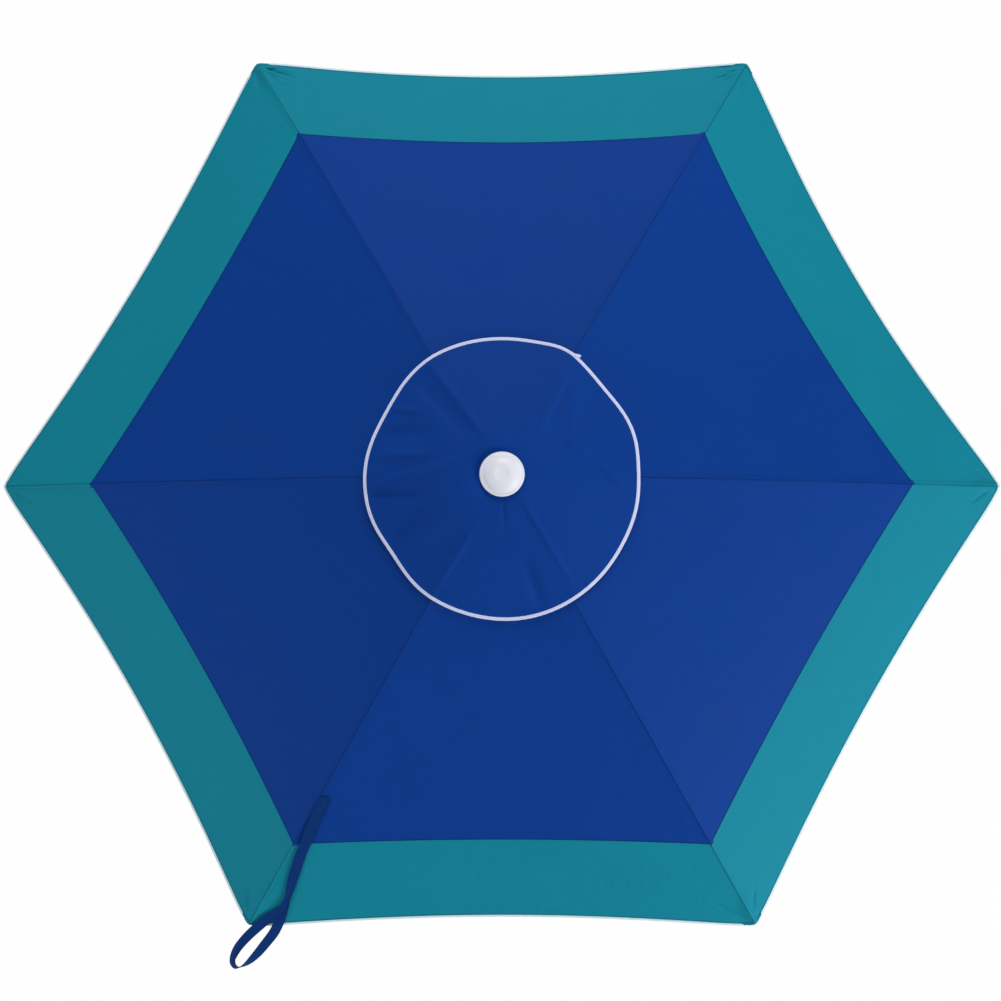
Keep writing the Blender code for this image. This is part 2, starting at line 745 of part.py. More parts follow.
def grooved_flange(top, bottom):
    """The outer side of a flange from top to bottom, with the groove that holds the wire ring."""
    return [
        (FLANGE_RADIUS, top),
        (FLANGE_RADIUS, GROOVE_HALF_HEIGHT),
        (GROOVE_RADIUS, GROOVE_HALF_HEIGHT),
        (GROOVE_RADIUS, -GROOVE_HALF_HEIGHT),
        (FLANGE_RADIUS, -GROOVE_HALF_HEIGHT),
        (FLANGE_RADIUS, bottom),
    ]


def make_crown(frame):
    crown = {"parent": frame, "location": (0, 0, CROWN_RISE)}
    bore = POLE_RADIUS + GAP
    hub = turned(
        "crown_hub",
        [
            *grooved_flange(HUB_ABOVE_HINGE, -HUB_BELOW_HINGE),
            (bore, -HUB_BELOW_HINGE),
            (bore, HUB_ABOVE_HINGE),
        ],
        WHITE_PLASTIC,
        RING_STEPS,
        closed=True,
        **crown,
    )
    slots = rib_slots("hub_slots", -HUB_BELOW_HINGE - CUT, HUB_ABOVE_HINGE + CUT)
    combine(hub, part("hub_slots", slots, WHITE_PLASTIC, **crown))
    pin_place = {"location": (0, 0, CROWN_RISE - CROWN_PIN_DROP), "rotation": ALONG_Y}
    hole = cylinder_mesh(
        "hub_pin_hole", CROWN_PIN_RADIUS + GAP, -FLANGE_RADIUS - CUT, FLANGE_RADIUS + CUT
    )
    combine(hub, part("hub_pin_hole", hole, WHITE_PLASTIC, parent=frame, **pin_place))
    wire_ring("crown_wire", **crown)
    half = CROWN_PIN_LENGTH / 2
    pin = cylinder_mesh("crown_pin", CROWN_PIN_RADIUS, -half, half)
    part("crown_pin", pin, BARE_STEEL, parent=frame, **pin_place)
    make_finial(crown)
    make_vent_cap(crown)


def make_finial(crown):
    """The plug in the pole's top and the mushroom that screws into it over the cap's cloth."""
    stud_hole = FINIAL_STUD_RADIUS + GAP
    stud_end = FINIAL_UNDERSIDE - FINIAL_STUD_LENGTH
    plug_top = FINIAL_UNDERSIDE - GAP
    turned(
        "pole_top_plug",
        [
            (POLE_RADIUS, plug_top),
            (POLE_RADIUS, HUB_ABOVE_HINGE + GAP),
            (PLUG_RADIUS, HUB_ABOVE_HINGE + GAP),
            (PLUG_RADIUS, stud_end - 2 * GAP),
            (0, stud_end - 2 * GAP),
            (0, stud_end - GAP),
            (stud_hole, stud_end - GAP),
            (stud_hole, plug_top),
        ],
        WHITE_PLASTIC,
        POLE_STEPS,
        closed=True,
        **crown,
    )
    rise = FINIAL_HEIGHT / 2
    rim = FINIAL_UNDERSIDE + rise / 2
    dome = [(0, FINIAL_UNDERSIDE + FINIAL_HEIGHT)]
    for i in range(1, DOME_STEPS):
        angle = math.radians(90 * (1 - i / DOME_STEPS))
        radius = FINIAL_RADIUS * math.cos(angle)
        dome.append((radius, rim + (FINIAL_HEIGHT - rise / 2) * math.sin(angle)))
    turned(
        "finial",
        [
            *dome,
            (FINIAL_RADIUS, rim),
            (FINIAL_RADIUS - rise / 2, FINIAL_UNDERSIDE),
            (FINIAL_STUD_RADIUS, FINIAL_UNDERSIDE),
            (FINIAL_STUD_RADIUS, stud_end),
            (0, stud_end),
        ],
        WHITE_PLASTIC,
        RING_STEPS,
        **crown,
    )


def make_vent_cap(crown):
    """A round skirt of cloth over the vent, held under the finial and dipping between the ribs."""
    edge = cloth_ridge(CAP_RADIUS) + CLOTH_THICKNESS + VENT_GAP
    profile = [(CAP_HOLE_RADIUS, CAP_UNDERSIDE), (CAP_FLAT_RADIUS, CAP_UNDERSIDE)]
    for i in range(1, CAP_RINGS + 1):
        share = i / CAP_RINGS
        radius = CAP_FLAT_RADIUS + (CAP_RADIUS - CAP_FLAT_RADIUS) * share
        profile.append((radius, CAP_UNDERSIDE + (edge - CAP_UNDERSIDE) * share))
    mesh = finished_mesh(turned("vent_cap", profile, BLUE_CLOTH, RING_STEPS))
    for vertex in mesh.vertices:
        x, y, _ = vertex.co
        reach = math.hypot(x, y) / CAP_RADIUS
        between = 0.5 - 0.5 * math.cos(RIB_COUNT * math.atan2(y, x))
        if reach * CAP_RADIUS > CAP_FLAT_RADIUS + GAP:
            vertex.co.z -= CAP_SCALLOP * reach**2 * between
    cap = part("vent_cap", mesh, BLUE_CLOTH, **crown)
    thicken(cap)


def thicken(thing):
    """Gives a sheet its thickness, upwards from its underside."""
    solidify = thing.modifiers.new("thickness", "SOLIDIFY")
    solidify.thickness = CLOTH_THICKNESS
    solidify.offset = 1
    solidify.use_even_offset = True


# Ribs, stretchers and cloth. Each is made once, in the plane of a rib along +X, and placed six times.


def with_eye(bar, centre, hole_radius):
    """Joins a flat eye to the end of a bar, with a hole across the rib's plane."""
    place = {"location": centre, "rotation": ALONG_Y}
    half = EYE_THICKNESS / 2
    eye = cylinder_mesh(bar.name + "_eye", EYE_RADIUS, -half, half)
    combine(bar, part(bar.name + "_eye", eye, WHITE_STEEL, **place), "UNION")
    hole = cylinder_mesh(bar.name + "_eye_hole", hole_radius, -CUT, CUT, SMALL_STEPS)
    combine(bar, part(bar.name + "_eye_hole", hole, WHITE_STEEL, **place))


def rib_point(radius):
    return (radius - HINGE_RADIUS, 0, rib_height(radius))


def rib_mesh():
    start = HINGE_RADIUS + EYE_RADIUS / 2
    end = CORNER_RADIUS - TIP_END_WALL - GAP
    radii = [start + (end - start) * i / ROD_SPANS for i in range(ROD_SPANS + 1)]
    bar = welded(rod("rib", [rib_point(r) for r in radii], ROD_RADIUS, WHITE_STEEL))
    with_eye(bar, (0, 0, 0), WIRE_HOLE_RADIUS)
    return finished_mesh(bar)


def stretcher_mesh():
    """A straight bar from the rib joint, which is its origin, down to the runner's hinge."""
    foot = Vector((0, 0, -RUNNER_DROP)) - JOINT
    inset = foot.normalized() * (EYE_RADIUS / 2)
    bar = welded(rod("stretcher", [inset, foot - inset], ROD_RADIUS, WHITE_STEEL))
    with_eye(bar, (0, 0, 0), RIVET_RADIUS + GAP)
    with_eye(bar, foot, WIRE_HOLE_RADIUS)
    return finished_mesh(bar)


def bracket_mesh():
    """The clip that holds the stretcher under the rib. Local x runs along the rib, z up from it."""
    drop = STRETCHER_JOINT_DROP
    half = BRACKET_LENGTH / 2
    shoulder = -drop / 3
    outline = [
        (half, 0),
        (-half, 0),
        (-half, shoulder),
        *arc((0, -drop), BRACKET_CHEEK_RADIUS, 190, 350, CHEEK_SPANS),
        (half, shoulder),
    ]
    upright = {"rotation": (math.pi / 2, 0, 0)}
    clip = plate("rib_bracket", outline, BRACKET_HALF_WIDTH, WHITE_PLASTIC, **upright)
    along = {"rotation": ALONG_X}
    sleeve = cylinder_mesh("bracket_sleeve", BRACKET_HALF_WIDTH, -half, half)
    combine(clip, part("bracket_sleeve", sleeve, WHITE_PLASTIC, **along), "UNION")
    bore = cylinder_mesh("bracket_bore", ROD_RADIUS + GAP, -CUT, CUT, BORE_STEPS)
    combine(clip, part("bracket_bore", bore, WHITE_PLASTIC, **along))
    slot_top = -drop + EYE_RADIUS + SLIDE_GAP
    slot = box_mesh(
        "bracket_slot",
        (-CUT, -SLOT_WIDTH / 2, -drop - CUT),
        (CUT, SLOT_WIDTH / 2, slot_top),
    )
    combine(clip, part("bracket_slot", slot, WHITE_PLASTIC))
    hole = cylinder_mesh("bracket_rivet_hole", RIVET_RADIUS + GAP, -CUT, CUT, SMALL_STEPS)
    place = {"location": (0, 0, -drop), "rotation": ALONG_Y}
    combine(clip, part("bracket_rivet_hole", hole, WHITE_PLASTIC, **place))
    return finished_mesh(clip)


def rivet_mesh():
    under = BRACKET_HALF_WIDTH + GAP
    end = under + RIVET_HEAD_THICKNESS
    profile = [
        (0, end),
        (RIVET_HEAD_RADIUS, end),
        (RIVET_HEAD_RADIUS, under),
        (RIVET_RADIUS, under),
        (RIVET_RADIUS, -under),
        (RIVET_HEAD_RADIUS, -under),
        (RIVET_HEAD_RADIUS, -end),
        (0, -end),
    ]
    return finished_mesh(turned("stretcher_rivet", profile, BARE_STEEL, SMALL_STEPS))


def rib_tip_mesh():
    """A round-ended cap. Its local Z axis runs along the rib, with its end at the origin."""
    bore = ROD_RADIUS + GAP
    round_end = [(r, h - TIP_RADIUS) for h, r in arc((0, 0), TIP_RADIUS, 0, 90, TIP_SPANS)]
    profile = [*round_end, (TIP_RADIUS, -TIP_LENGTH), (bore, -TIP_LENGTH), (bore, -TIP_END_WALL)]
    profile.append((0, -TIP_END_WALL))
    profile[0] = (0, 0)
    return finished_mesh(turned("rib_tip", profile, WHITE_PLASTIC, BORE_STEPS))


def gore_mesh():
    """The cloth that a rib carries, from the middle of one panel to the middle of the next."""
    rows = BLUE_ROWS + BAND_ROWS
    bm = bmesh.new()
    bmesh.ops.create_grid(bm, x_segments=rows, y_segments=2 * GORE_COLUMNS, size=1)
    for vertex in bm.verts:
        row = round((vertex.co.x + 1) / 2 * rows)
        blue = min(row / BLUE_ROWS, 1)
        band = max(row - BLUE_ROWS, 0) / BAND_ROWS
        radius = VENT_RADIUS + (BAND_JOIN_RADIUS - VENT_RADIUS) * blue
        radius += (CORNER_RADIUS - BAND_JOIN_RADIUS) * band
        middle = 0.5 - GAP / radius
        share = abs(vertex.co.y) * middle
        hollow = HEM_HOLLOW * row / rows * 4 * share * (1 - share)
        point = cloth_point(radius * (1 - hollow), share)
        side = math.copysign(1, vertex.co.y)
        vertex.co = (point.x - HINGE_RADIUS, point.y * side, point.z)
    for face in bm.faces:
        outermost = max(math.hypot(v.co.x + HINGE_RADIUS, v.co.y) for v in face.verts)
        face.smooth = True
        face.material_index = int(outermost > BAND_JOIN_RADIUS + GAP)
    mesh = mesh_from("canopy_gore", bm)
    mesh.materials.append(BLUE_CLOTH)
    mesh.materials.append(TEAL_CLOTH)
    return mesh


def make_ribs(frame):
    """Returns the empty at the first stretcher's joint, which carries the runner."""
    rib, stretcher, bracket = rib_mesh(), stretcher_mesh(), bracket_mesh()
    rivet, tip, gore = rivet_mesh(), rib_tip_mesh(), gore_mesh()
    seat = rib_point(STRETCHER_JOINT_RADIUS)
    seat_slope = rib_slope(STRETCHER_JOINT_RADIUS)
    tip_slope = rib_slope(CORNER_RADIUS - TIP_LENGTH / 2)
    joints = []
    for i in range(RIB_COUNT):
        angle = math.tau * i / RIB_COUNT
        number = i + 1
        at = (HINGE_RADIUS * math.cos(angle), HINGE_RADIUS * math.sin(angle), CROWN_RISE)
        hinge = empty(f"rib_hinge_{number}", frame, at, (0, 0, angle))
        part(f"rib_{number}", rib, WHITE_STEEL, parent=hinge)
        place = {"parent": hinge, "location": seat, "rotation": (0, -seat_slope, 0)}
        part(f"rib_bracket_{number}", bracket, WHITE_PLASTIC, **place)
        place = {"parent": hinge, "location": JOINT, "rotation": ALONG_Y}
        part(f"stretcher_rivet_{number}", rivet, BARE_STEEL, **place)
        along = (0, math.pi / 2 - tip_slope, 0)
        place = {"parent": hinge, "location": rib_point(CORNER_RADIUS), "rotation": along}
        part(f"rib_tip_{number}", tip, WHITE_PLASTIC, **place)
        cloth = part(f"canopy_gore_{number}", gore, BLUE_CLOTH, parent=hinge)
        thicken(cloth)
        joint = empty(f"stretcher_joint_{number}", hinge, JOINT)
        part(f"stretcher_{number}", stretcher, WHITE_STEEL, parent=joint)
        joints.append(joint)
    make_tie_strap(bpy.data.objects[f"rib_hinge_{STRAP_RIB}"])
    return joints[0]


# Tie strap: a tape sewn on beside the seam, doubled back on itself, whose loop hangs past the corner.
# A row on the cloth is distance in from the corner and distance beside the rib. A row of the loop adds
# the drop below the corner and the turn of the tape in degrees: 90 lies level and 0 stands on edge.
STRAP_ON_CLOTH = [
    (0.250, 0.0090),
    (0.215, 0.0120),
    (0.180, 0.0165),
    (0.145, 0.0215),
    (0.110, 0.0270),
    (0.080, 0.0325),
    (0.055, 0.0380),
]
STRAP_LOOP = [
    (0.032, 0.0430, -0.0042, 76),
    (0.008, 0.0450, 0.0020, 70),
    (-0.020, 0.0415, 0.0085, 62),
    (-0.046, 0.0370, 0.0140, 48),
    (-0.069, 0.0298, 0.0180, 22),
    (-0.081, 0.0190, 0.0195, 0),
    (-0.074, 0.0075, 0.0175, -22),
    (-0.052, 0.0040, 0.0125, -48),
    (-0.026, 0.0080, 0.0065, -62),
    (0.000, 0.0155, -0.0022, -68),
    (0.026, 0.0245, -0.0102, -72),
    (0.052, 0.0362, -0.0174, -73),
]


def make_tie_strap(hinge):
    over = CLOTH_THICKNESS / math.cos(rib_slope(CORNER_RADIUS)) + 2 * CLOTH_GAP + STRAP_THICKNESS
    layer = STRAP_THICKNESS + STRAP_LAYER_GAP
    hem = cloth_ridge(CORNER_RADIUS)
    sewn = [(CORNER_RADIUS - inset, beside) for inset, beside in STRAP_ON_CLOTH]
    lower = [(x, y, cloth_over(x, y) + over, 90 - cloth_roll(x, y)) for x, y in sewn]
    loop = [(CORNER_RADIUS - inset, y, hem - below, turn) for inset, y, below, turn in STRAP_LOOP]
    upper = [(x, y, z + layer, -turn) for x, y, z, turn in reversed(lower[:-1])]
    points = lower + loop + upper
    curve = bpy.data.curves.new("tie_strap", "CURVE")
    curve.dimensions = "3D"
    curve.twist_mode = "Z_UP"
    curve.extrude = STRAP_WIDTH / 2 - STRAP_THICKNESS / 2
    curve.bevel_depth = STRAP_THICKNESS / 2
    curve.bevel_resolution = 0
    curve.use_fill_caps = True
    curve.resolution_u = STRAP_SPANS
    spline = curve.splines.new("BEZIER")
    spline.bezier_points.add(len(points) - 1)
    for knot, (x, y, z, turn) in zip(spline.bezier_points, points):
        knot.co = (x - HINGE_RADIUS, y, z)
        knot.tilt = math.radians(turn)
        knot.handle_left_type = "AUTO"
        knot.handle_right_type = "AUTO"
    part("tie_strap", curve, BLUE_CLOTH, parent=hinge)


def make_runner(joint):
    axis = empty("runner_hinge", joint, Vector((0, 0, -RUNNER_DROP)) - JOINT)
    place = {"parent": axis, "location": (-HINGE_RADIUS, 0, 0)}
    bore = POLE_RADIUS + SLIDE_GAP
    sleeve_top = -RUNNER_FLANGE_DEPTH - RUNNER_LIP_HEIGHT
    lip = RUNNER_SLEEVE_RADIUS + RUNNER_LIP_HEIGHT / 2
    runner = turned(
        "runner",
        [
            *grooved_flange(HUB_ABOVE_HINGE, -RUNNER_FLANGE_DEPTH),
            (RUNNER_SLEEVE_RADIUS, sleeve_top),
            (RUNNER_SLEEVE_RADIUS, -RUNNER_LENGTH + 2 * RUNNER_LIP_HEIGHT),
            (lip, -RUNNER_LENGTH + RUNNER_LIP_HEIGHT),
            (lip, -RUNNER_LENGTH),
            (bore, -RUNNER_LENGTH),
            (bore, HUB_ABOVE_HINGE),
        ],
        WHITE_PLASTIC,
        RING_STEPS,
        closed=True,
        **place,
    )
    floor = -EYE_RADIUS - 2 * SLIDE_GAP
    slots = rib_slots("runner_slots", floor, HUB_ABOVE_HINGE + CUT)
    combine(runner, part("runner_slots", slots, WHITE_PLASTIC, **place))
    wire_ring("runner_wire", **place)


make_lower_pole()
make_clamp_knob()
MIDDLE_FRAME = empty("middle_pole_slide", location=(0, 0, TILT_HEIGHT))
make_middle_pole(MIDDLE_FRAME)
make_tilt_fork(MIDDLE_FRAME)
UPPER_FRAME = empty("tilt_axis", MIDDLE_FRAME)
make_tilt_tongue(UPPER_FRAME)
make_upper_pole(UPPER_FRAME)
make_crown(UPPER_FRAME)
make_runner(make_ribs(UPPER_FRAME))
print(f"crown hinge at {TILT_HEIGHT + CROWN_RISE:.4f} m, runner hinge {RUNNER_DROP:.4f} m below it")
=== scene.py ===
# %% [markdown]
# # A six-rib beach umbrella, seen from above
#
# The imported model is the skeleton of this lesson. It has every solid in its place, in metres, and the
# bodies that move. Each step below dresses a part of it: cloth, tape, plastic and steel.

# %% Load the frame
import json
import math

import bmesh
import bpy
from mathutils import Matrix, Vector, noise

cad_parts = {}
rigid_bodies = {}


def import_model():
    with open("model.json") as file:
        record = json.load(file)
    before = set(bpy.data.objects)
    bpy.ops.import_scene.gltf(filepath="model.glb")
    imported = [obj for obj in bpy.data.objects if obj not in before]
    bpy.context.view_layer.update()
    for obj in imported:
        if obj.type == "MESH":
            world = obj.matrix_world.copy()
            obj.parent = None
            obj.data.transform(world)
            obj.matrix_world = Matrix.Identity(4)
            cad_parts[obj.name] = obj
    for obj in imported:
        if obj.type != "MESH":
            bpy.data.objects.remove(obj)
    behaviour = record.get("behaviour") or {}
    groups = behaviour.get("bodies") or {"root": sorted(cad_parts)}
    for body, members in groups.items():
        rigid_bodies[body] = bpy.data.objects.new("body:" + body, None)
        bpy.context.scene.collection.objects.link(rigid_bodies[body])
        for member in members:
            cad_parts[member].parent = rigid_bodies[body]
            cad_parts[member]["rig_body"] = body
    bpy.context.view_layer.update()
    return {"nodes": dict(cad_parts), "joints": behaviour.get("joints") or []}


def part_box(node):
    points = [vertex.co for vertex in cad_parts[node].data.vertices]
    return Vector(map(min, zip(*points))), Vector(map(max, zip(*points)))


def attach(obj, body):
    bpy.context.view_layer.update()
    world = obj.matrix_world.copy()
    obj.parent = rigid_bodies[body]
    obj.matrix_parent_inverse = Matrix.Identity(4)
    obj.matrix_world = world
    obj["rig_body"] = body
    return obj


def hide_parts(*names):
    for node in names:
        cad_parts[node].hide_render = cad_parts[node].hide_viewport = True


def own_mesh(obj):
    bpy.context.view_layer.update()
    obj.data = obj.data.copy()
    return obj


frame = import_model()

joints = {joint["name"]: joint for joint in frame["joints"]}
RIBS = range(1, 7)
HINGE_RADIUS, _, CROWN = joints["rib_1_fold"]["pos_m"]
print(len(frame["nodes"]), "solids, crown hinges at", round(CROWN, 4), "m")

# %% [markdown]
# ## The camera
#
# The photograph looks almost straight down on the open canopy, from a little on the near side. A camera
# could be placed by eye, but its height decides how much the crown swells towards us against the rim, so
# its place and lens were fitted to the six corners, the band's corners and the finial.

# %% Camera
CAMERA_AIM = Vector((-0.0024, -0.0280, 1.6800))
CAMERA_DISTANCE = 2.8
CAMERA_RISE = math.radians(86.2)
CAMERA_LENS = 58.6
camera = bpy.data.objects.new("camera", bpy.data.cameras.new("camera"))
bpy.context.scene.collection.objects.link(camera)
bpy.context.scene.camera = camera
away = Vector((0.0, -math.cos(CAMERA_RISE), math.sin(CAMERA_RISE)))
camera.location = CAMERA_AIM + CAMERA_DISTANCE * away
camera.rotation_euler = (CAMERA_AIM - camera.location).to_track_quat("-Z", "Y").to_euler()
camera.data.lens = CAMERA_LENS
camera.data.sensor_width = 36.0
print("camera at", [round(value, 3) for value in camera.location])

# %% [markdown]
# ## Light, floor and backdrop
#
# A product picture on white needs soft light from large lamps. Brighter lamps could whiten the floor, but
# they would bleach the cloth too, so the floor and the sky show white to the camera by themselves, and the
# floor keeps a share of its own shading for the shadow. One lamp stands beyond the far rim, which is why
# the far panels look lighter.

# %% Lamps
LAMP_AIM = Vector((0, 0, 1.7))


def add_lamp(name, place, size, power):
    lamp = bpy.data.objects.new(name, bpy.data.lights.new(name, "AREA"))
    lamp.data.shape = "DISK"
    lamp.data.size = size
    lamp.data.energy = power
    lamp.location = place
    lamp.rotation_euler = (LAMP_AIM - lamp.location).to_track_quat("-Z", "Y").to_euler()
    bpy.context.scene.collection.objects.link(lamp)


add_lamp("far_lamp", (0.2, 2.9, 3.8), 2.2, 80)
add_lamp("near_lamp", (2.6, -2.0, 2.8), 2.4, 92)
add_lamp("left_lamp", (-2.6, -1.6, 3.0), 2.4, 37)
print("lamps:", [lamp.name for lamp in bpy.data.lights])

# %% [markdown]
# ### Sums on sockets
#
# A shader is a graph of nodes, and most of the nodes in it are plain arithmetic. They could be added and
# linked one at a time, but a small class that stands for a socket lets a sum be written as a sum.

# %% Sums on sockets
class Wire:
    """A node tree's socket, on which shader sums are written as Python sums."""

    def __init__(self, tree, socket=None):
        self.tree = tree
        self.socket = socket

    def node(self, kind, settings=None, inputs=None, output=0):
        """Adds a node of any kind: its settings first, then the values or links of its sockets."""
        made = self.tree.nodes.new("ShaderNode" + kind)
        for name, value in (settings or {}).items():
            setattr(made, name, value)
        for key, value in (inputs or {}).items():
            if isinstance(value, Wire):
                self.tree.links.new(value.socket, made.inputs[key])
            else:
                made.inputs[key].default_value = value
        return Wire(self.tree, made.outputs[output])

    def math(self, operation, other=0.0):
        return self.node("Math", {"operation": operation}, {0: self, 1: other})

    def __add__(self, other):
        return self.math("ADD", other)

    def __sub__(self, other):
        return self.math("SUBTRACT", other)

    def __rsub__(self, other):
        return self.node("Math", {"operation": "SUBTRACT"}, {0: other, 1: self})

    def __mul__(self, other):
        return self.math("MULTIPLY", other)

    def __truediv__(self, other):
        return self.math("DIVIDE", other)

    __radd__ = __add__
    __rmul__ = __mul__

    def output(self, name):
        """Another output of the node that this socket belongs to."""
        return Wire(self.tree, self.socket.node.outputs[name])

    def ramp(self, low, high):
        """Rises smoothly from 0 where this is at low to 1 where it is at high."""
        inputs = {"Value": self, "From Min": low, "From Max": high}
        return self.node("MapRange", {"interpolation_type": "SMOOTHSTEP"}, inputs)

    def mix(self, first, second):
        """A colour that goes from the first to the second as this goes from 0 to 1."""
        inputs = {0: self, 6: first, 7: second}
        return self.node("Mix", {"data_type": "RGBA"}, inputs, 2)

    def line(self, place, half, soft):
        """1 where this is within half of a place, falling softly to 0."""
        return 1.0 - (self - place).math("ABSOLUTE").ramp(half, half + soft)

    def noise(self, scale, detail=2.0, roughness=0.5):
        """Cloudy values around 0.5 on these coordinates."""
        inputs = {"Vector": self, "Scale": scale, "Detail": detail, "Roughness": roughness}
        return self.node("TexNoise", None, inputs)


print("a socket can add, subtract, multiply, divide, ramp and mix")


# %% Sky
def shown_white(wire, share):
    """How much of a surface is plain white, by the kind of ray that sees it."""
    path = wire.node("LightPath")
    seen = [path.output(name) for name in ("Is Camera Ray", "Is Glossy Ray", "Is Transmission Ray")]
    return (seen[0] + seen[1] + seen[2]).math("MINIMUM", 1.0) * share


SKY_LIGHT = 0.22  # what the sky gives the umbrella, while it shows as 1 to the camera
world = bpy.data.worlds.new("studio")
world.use_nodes = True
bpy.context.scene.world = world
background = world.node_tree.nodes["Background"]
background.inputs["Color"].default_value = (1, 1, 1, 1)
sky = SKY_LIGHT + (1 - SKY_LIGHT) * shown_white(Wire(world.node_tree), 1.0)
world.node_tree.links.new(sky.socket, background.inputs["Strength"])
print("sky lights the umbrella at", SKY_LIGHT)

# %% Floor
FLOOR_RADIUS = 9
FLOOR_LEVEL = -0.0005  # just clear of the spike's end
FLOOR_WHITE = 0.975  # the rest is the floor's own shading
floor_bm = bmesh.new()
bmesh.ops.create_circle(floor_bm, cap_ends=True, segments=96, radius=FLOOR_RADIUS)
bmesh.ops.translate(floor_bm, verts=floor_bm.verts, vec=(0, 0, FLOOR_LEVEL))
floor_mesh = bpy.data.meshes.new("floor")
floor_bm.to_mesh(floor_mesh)
floor_bm.free()
floor = bpy.data.objects.new("floor", floor_mesh)
bpy.context.scene.collection.objects.link(floor)
floor_paint = bpy.data.materials.new("floor_white")
floor_paint.use_nodes = True
floor_mesh.materials.append(floor_paint)
floor_tree = Wire(floor_paint.node_tree)
matt = floor_tree.node("BsdfDiffuse", None, {"Color": (0.86, 0.86, 0.86, 1)})
glow = floor_tree.node("Emission", None, {"Color": (1, 1, 1, 1), "Strength": 1.0})
blend = floor_tree.node("MixShader", None, {0: shown_white(floor_tree, FLOOR_WHITE), 1: matt, 2: glow})
surface = floor_paint.node_tree.nodes["Material Output"].inputs["Surface"]
floor_paint.node_tree.links.new(blend.socket, surface)
bpy.context.scene.view_settings.view_transform = "Standard"
print("floor", 2 * FLOOR_RADIUS, "m across")

# %% [markdown]
# ## Finishes
#
# Every finish is worked out from numbers, so it has no pictures to lose and can be seen from any side.
# Cloth reads a UV map in metres that runs with each panel's threads, so that the weave turns from panel to
# panel as it does in a sewn canopy. Hard pieces read Object coordinates.

# %% A material and its shader
def new_finish(name, **values):
    """A material with its constant shader values set, as (material, wire, link)."""
    material = bpy.data.materials.new(name)
    material.use_nodes = True
    shader = material.node_tree.nodes["Principled BSDF"]
    for socket, value in values.items():
        shader.inputs[socket.replace("_", " ")].default_value = value

    def link(socket, wire):
        material.node_tree.links.new(wire.socket, shader.inputs[socket])

    return material, Wire(material.node_tree), link


def shade(colour, factor):
    """A colour made lighter or darker, with the alpha that sockets want."""
    return (*(min(1.0, part * factor) for part in colour), 1)


print("a finish is a material, a wire and a link")

# %% [markdown]
# ### Woven polyester
#
# The canopy is a close plain weave with a faint sheen. Threads half a millimetre wide cross over and
# under, thicker yarns leave streaks, and soft crumples from folding catch the light. A second UV map holds
# the distance from a seam: there a row of stitches runs, and lines of painted shade darken the cloth
# where the seam's groove would shadow it.

# %% How cloth is shaded
STITCH_PITCH = 0.0042
STITCH_INSET = 0.0032  # from the free edge of a seam
STREAK_SCALE = (700.0, 9.0, 1.0)  # fine across the threads, long along them


def cloth_finish(name, colour, thread, pitch=0.0005, crumple=0.0036, shade_lines=()):
    """Woven cloth: its dye, its stitches' thread, and lines of painted shade at distances from a seam's
    edge.
    """
    material, wire, link = new_finish(
        name, Specular_IOR_Level=0.07, Sheen_Weight=0.02, Sheen_Roughness=0.45
    )
    weave = wire.node("UVMap", {"uv_map": "weave"})
    axes = weave.node("SeparateXYZ", None, {0: weave})
    across, along = axes, axes.output(1)
    turn = math.tau / pitch
    over = (across * turn).math("SINE") * (along * turn).math("SINE")
    stretched = weave.node("Mapping", None, {"Vector": weave, "Scale": STREAK_SCALE})
    streaks = stretched.noise(1.0, 2.0)
    place = wire.node("TexCoord").output("Object")
    clouds = place.noise(7.0, 3.0, 0.55)
    sewn = wire.node("UVMap", {"uv_map": "sewn"})
    sewn_axes = sewn.node("SeparateXYZ", None, {0: sewn})
    run, inset = sewn_axes, sewn_axes.output(1)
    dash = (run / STITCH_PITCH).math("FRACT")
    row = inset.line(STITCH_INSET, 0.0003, 0.0003)
    stitch = row * dash.ramp(0.16, 0.24) * (1.0 - dash.ramp(0.90, 0.98))
    light = clouds * 0.5 + streaks * 0.35 + over * 0.10 + 0.075
    dyed = light.mix(shade(colour, 0.88), shade(colour, 1.12))
    # painted shade: each line darkens the dye where a seam dips the cloth, standing for the shadow in that
    # groove
    for distance, depth in shade_lines:
        painted_seam_shade = depth * clouds * inset.line(distance, 0.0008, 0.0020)
        dyed = painted_seam_shade.mix(dyed, shade(colour, 0.40))
    link("Base Color", stitch.mix(dyed, (*thread, 1)))
    link("Roughness", 0.56 + 0.14 * clouds + 0.04 * streaks)
    crease = place.noise(26.0, 4.0, 0.6)
    folds = place.node("Bump", None, {"Strength": 0.5, "Distance": crumple, "Height": crease})
    relief = over * 0.35 + streaks * 0.5 + stitch * 2.0
    threads = {"Strength": 0.35, "Distance": 0.00012, "Height": relief, "Normal": folds}
    link("Normal", wire.node("Bump", None, threads))
    return material


print("stitches every", STITCH_PITCH, "m")

# %% Cloth finishes
BLUE = (0.0016, 0.0415, 0.262)
TEAL = (0.0050, 0.222, 0.312)
SEAM_FOLD = 0.0092  # the fold between two panels, measured like the stitches from the seam's free edge; the strong line of painted shade lies there
# painted shade lines, as distance from a seam's free edge and darkness: a faint one by that edge, a strong
# one at the fold
SEAM_SHADE_LINES = ((0.0012, 0.2), (SEAM_FOLD, 1.1))
blue_cloth = cloth_finish("blue_cloth", BLUE, (0.0013, 0.034, 0.21), shade_lines=SEAM_SHADE_LINES)
teal_cloth = cloth_finish("teal_cloth", TEAL, (0.004, 0.19, 0.265), shade_lines=SEAM_SHADE_LINES)
tape_white = cloth_finish("binding_tape", (0.64, 0.68, 0.94), (0.56, 0.60, 0.84), 0.0009, 0.0016)
tape_hem = cloth_finish("hem_tape", (0.62, 0.80, 0.86), (0.54, 0.70, 0.76), 0.0009, 0.0016)
tape_blue = cloth_finish("strap_tape", (0.0015, 0.029, 0.155), (0.0010, 0.018, 0.10), 0.0012, 0.0016)
cloths = (blue_cloth, teal_cloth, tape_white, tape_hem, tape_blue)
print("cloth finishes:", [cloth.name for cloth in cloths])

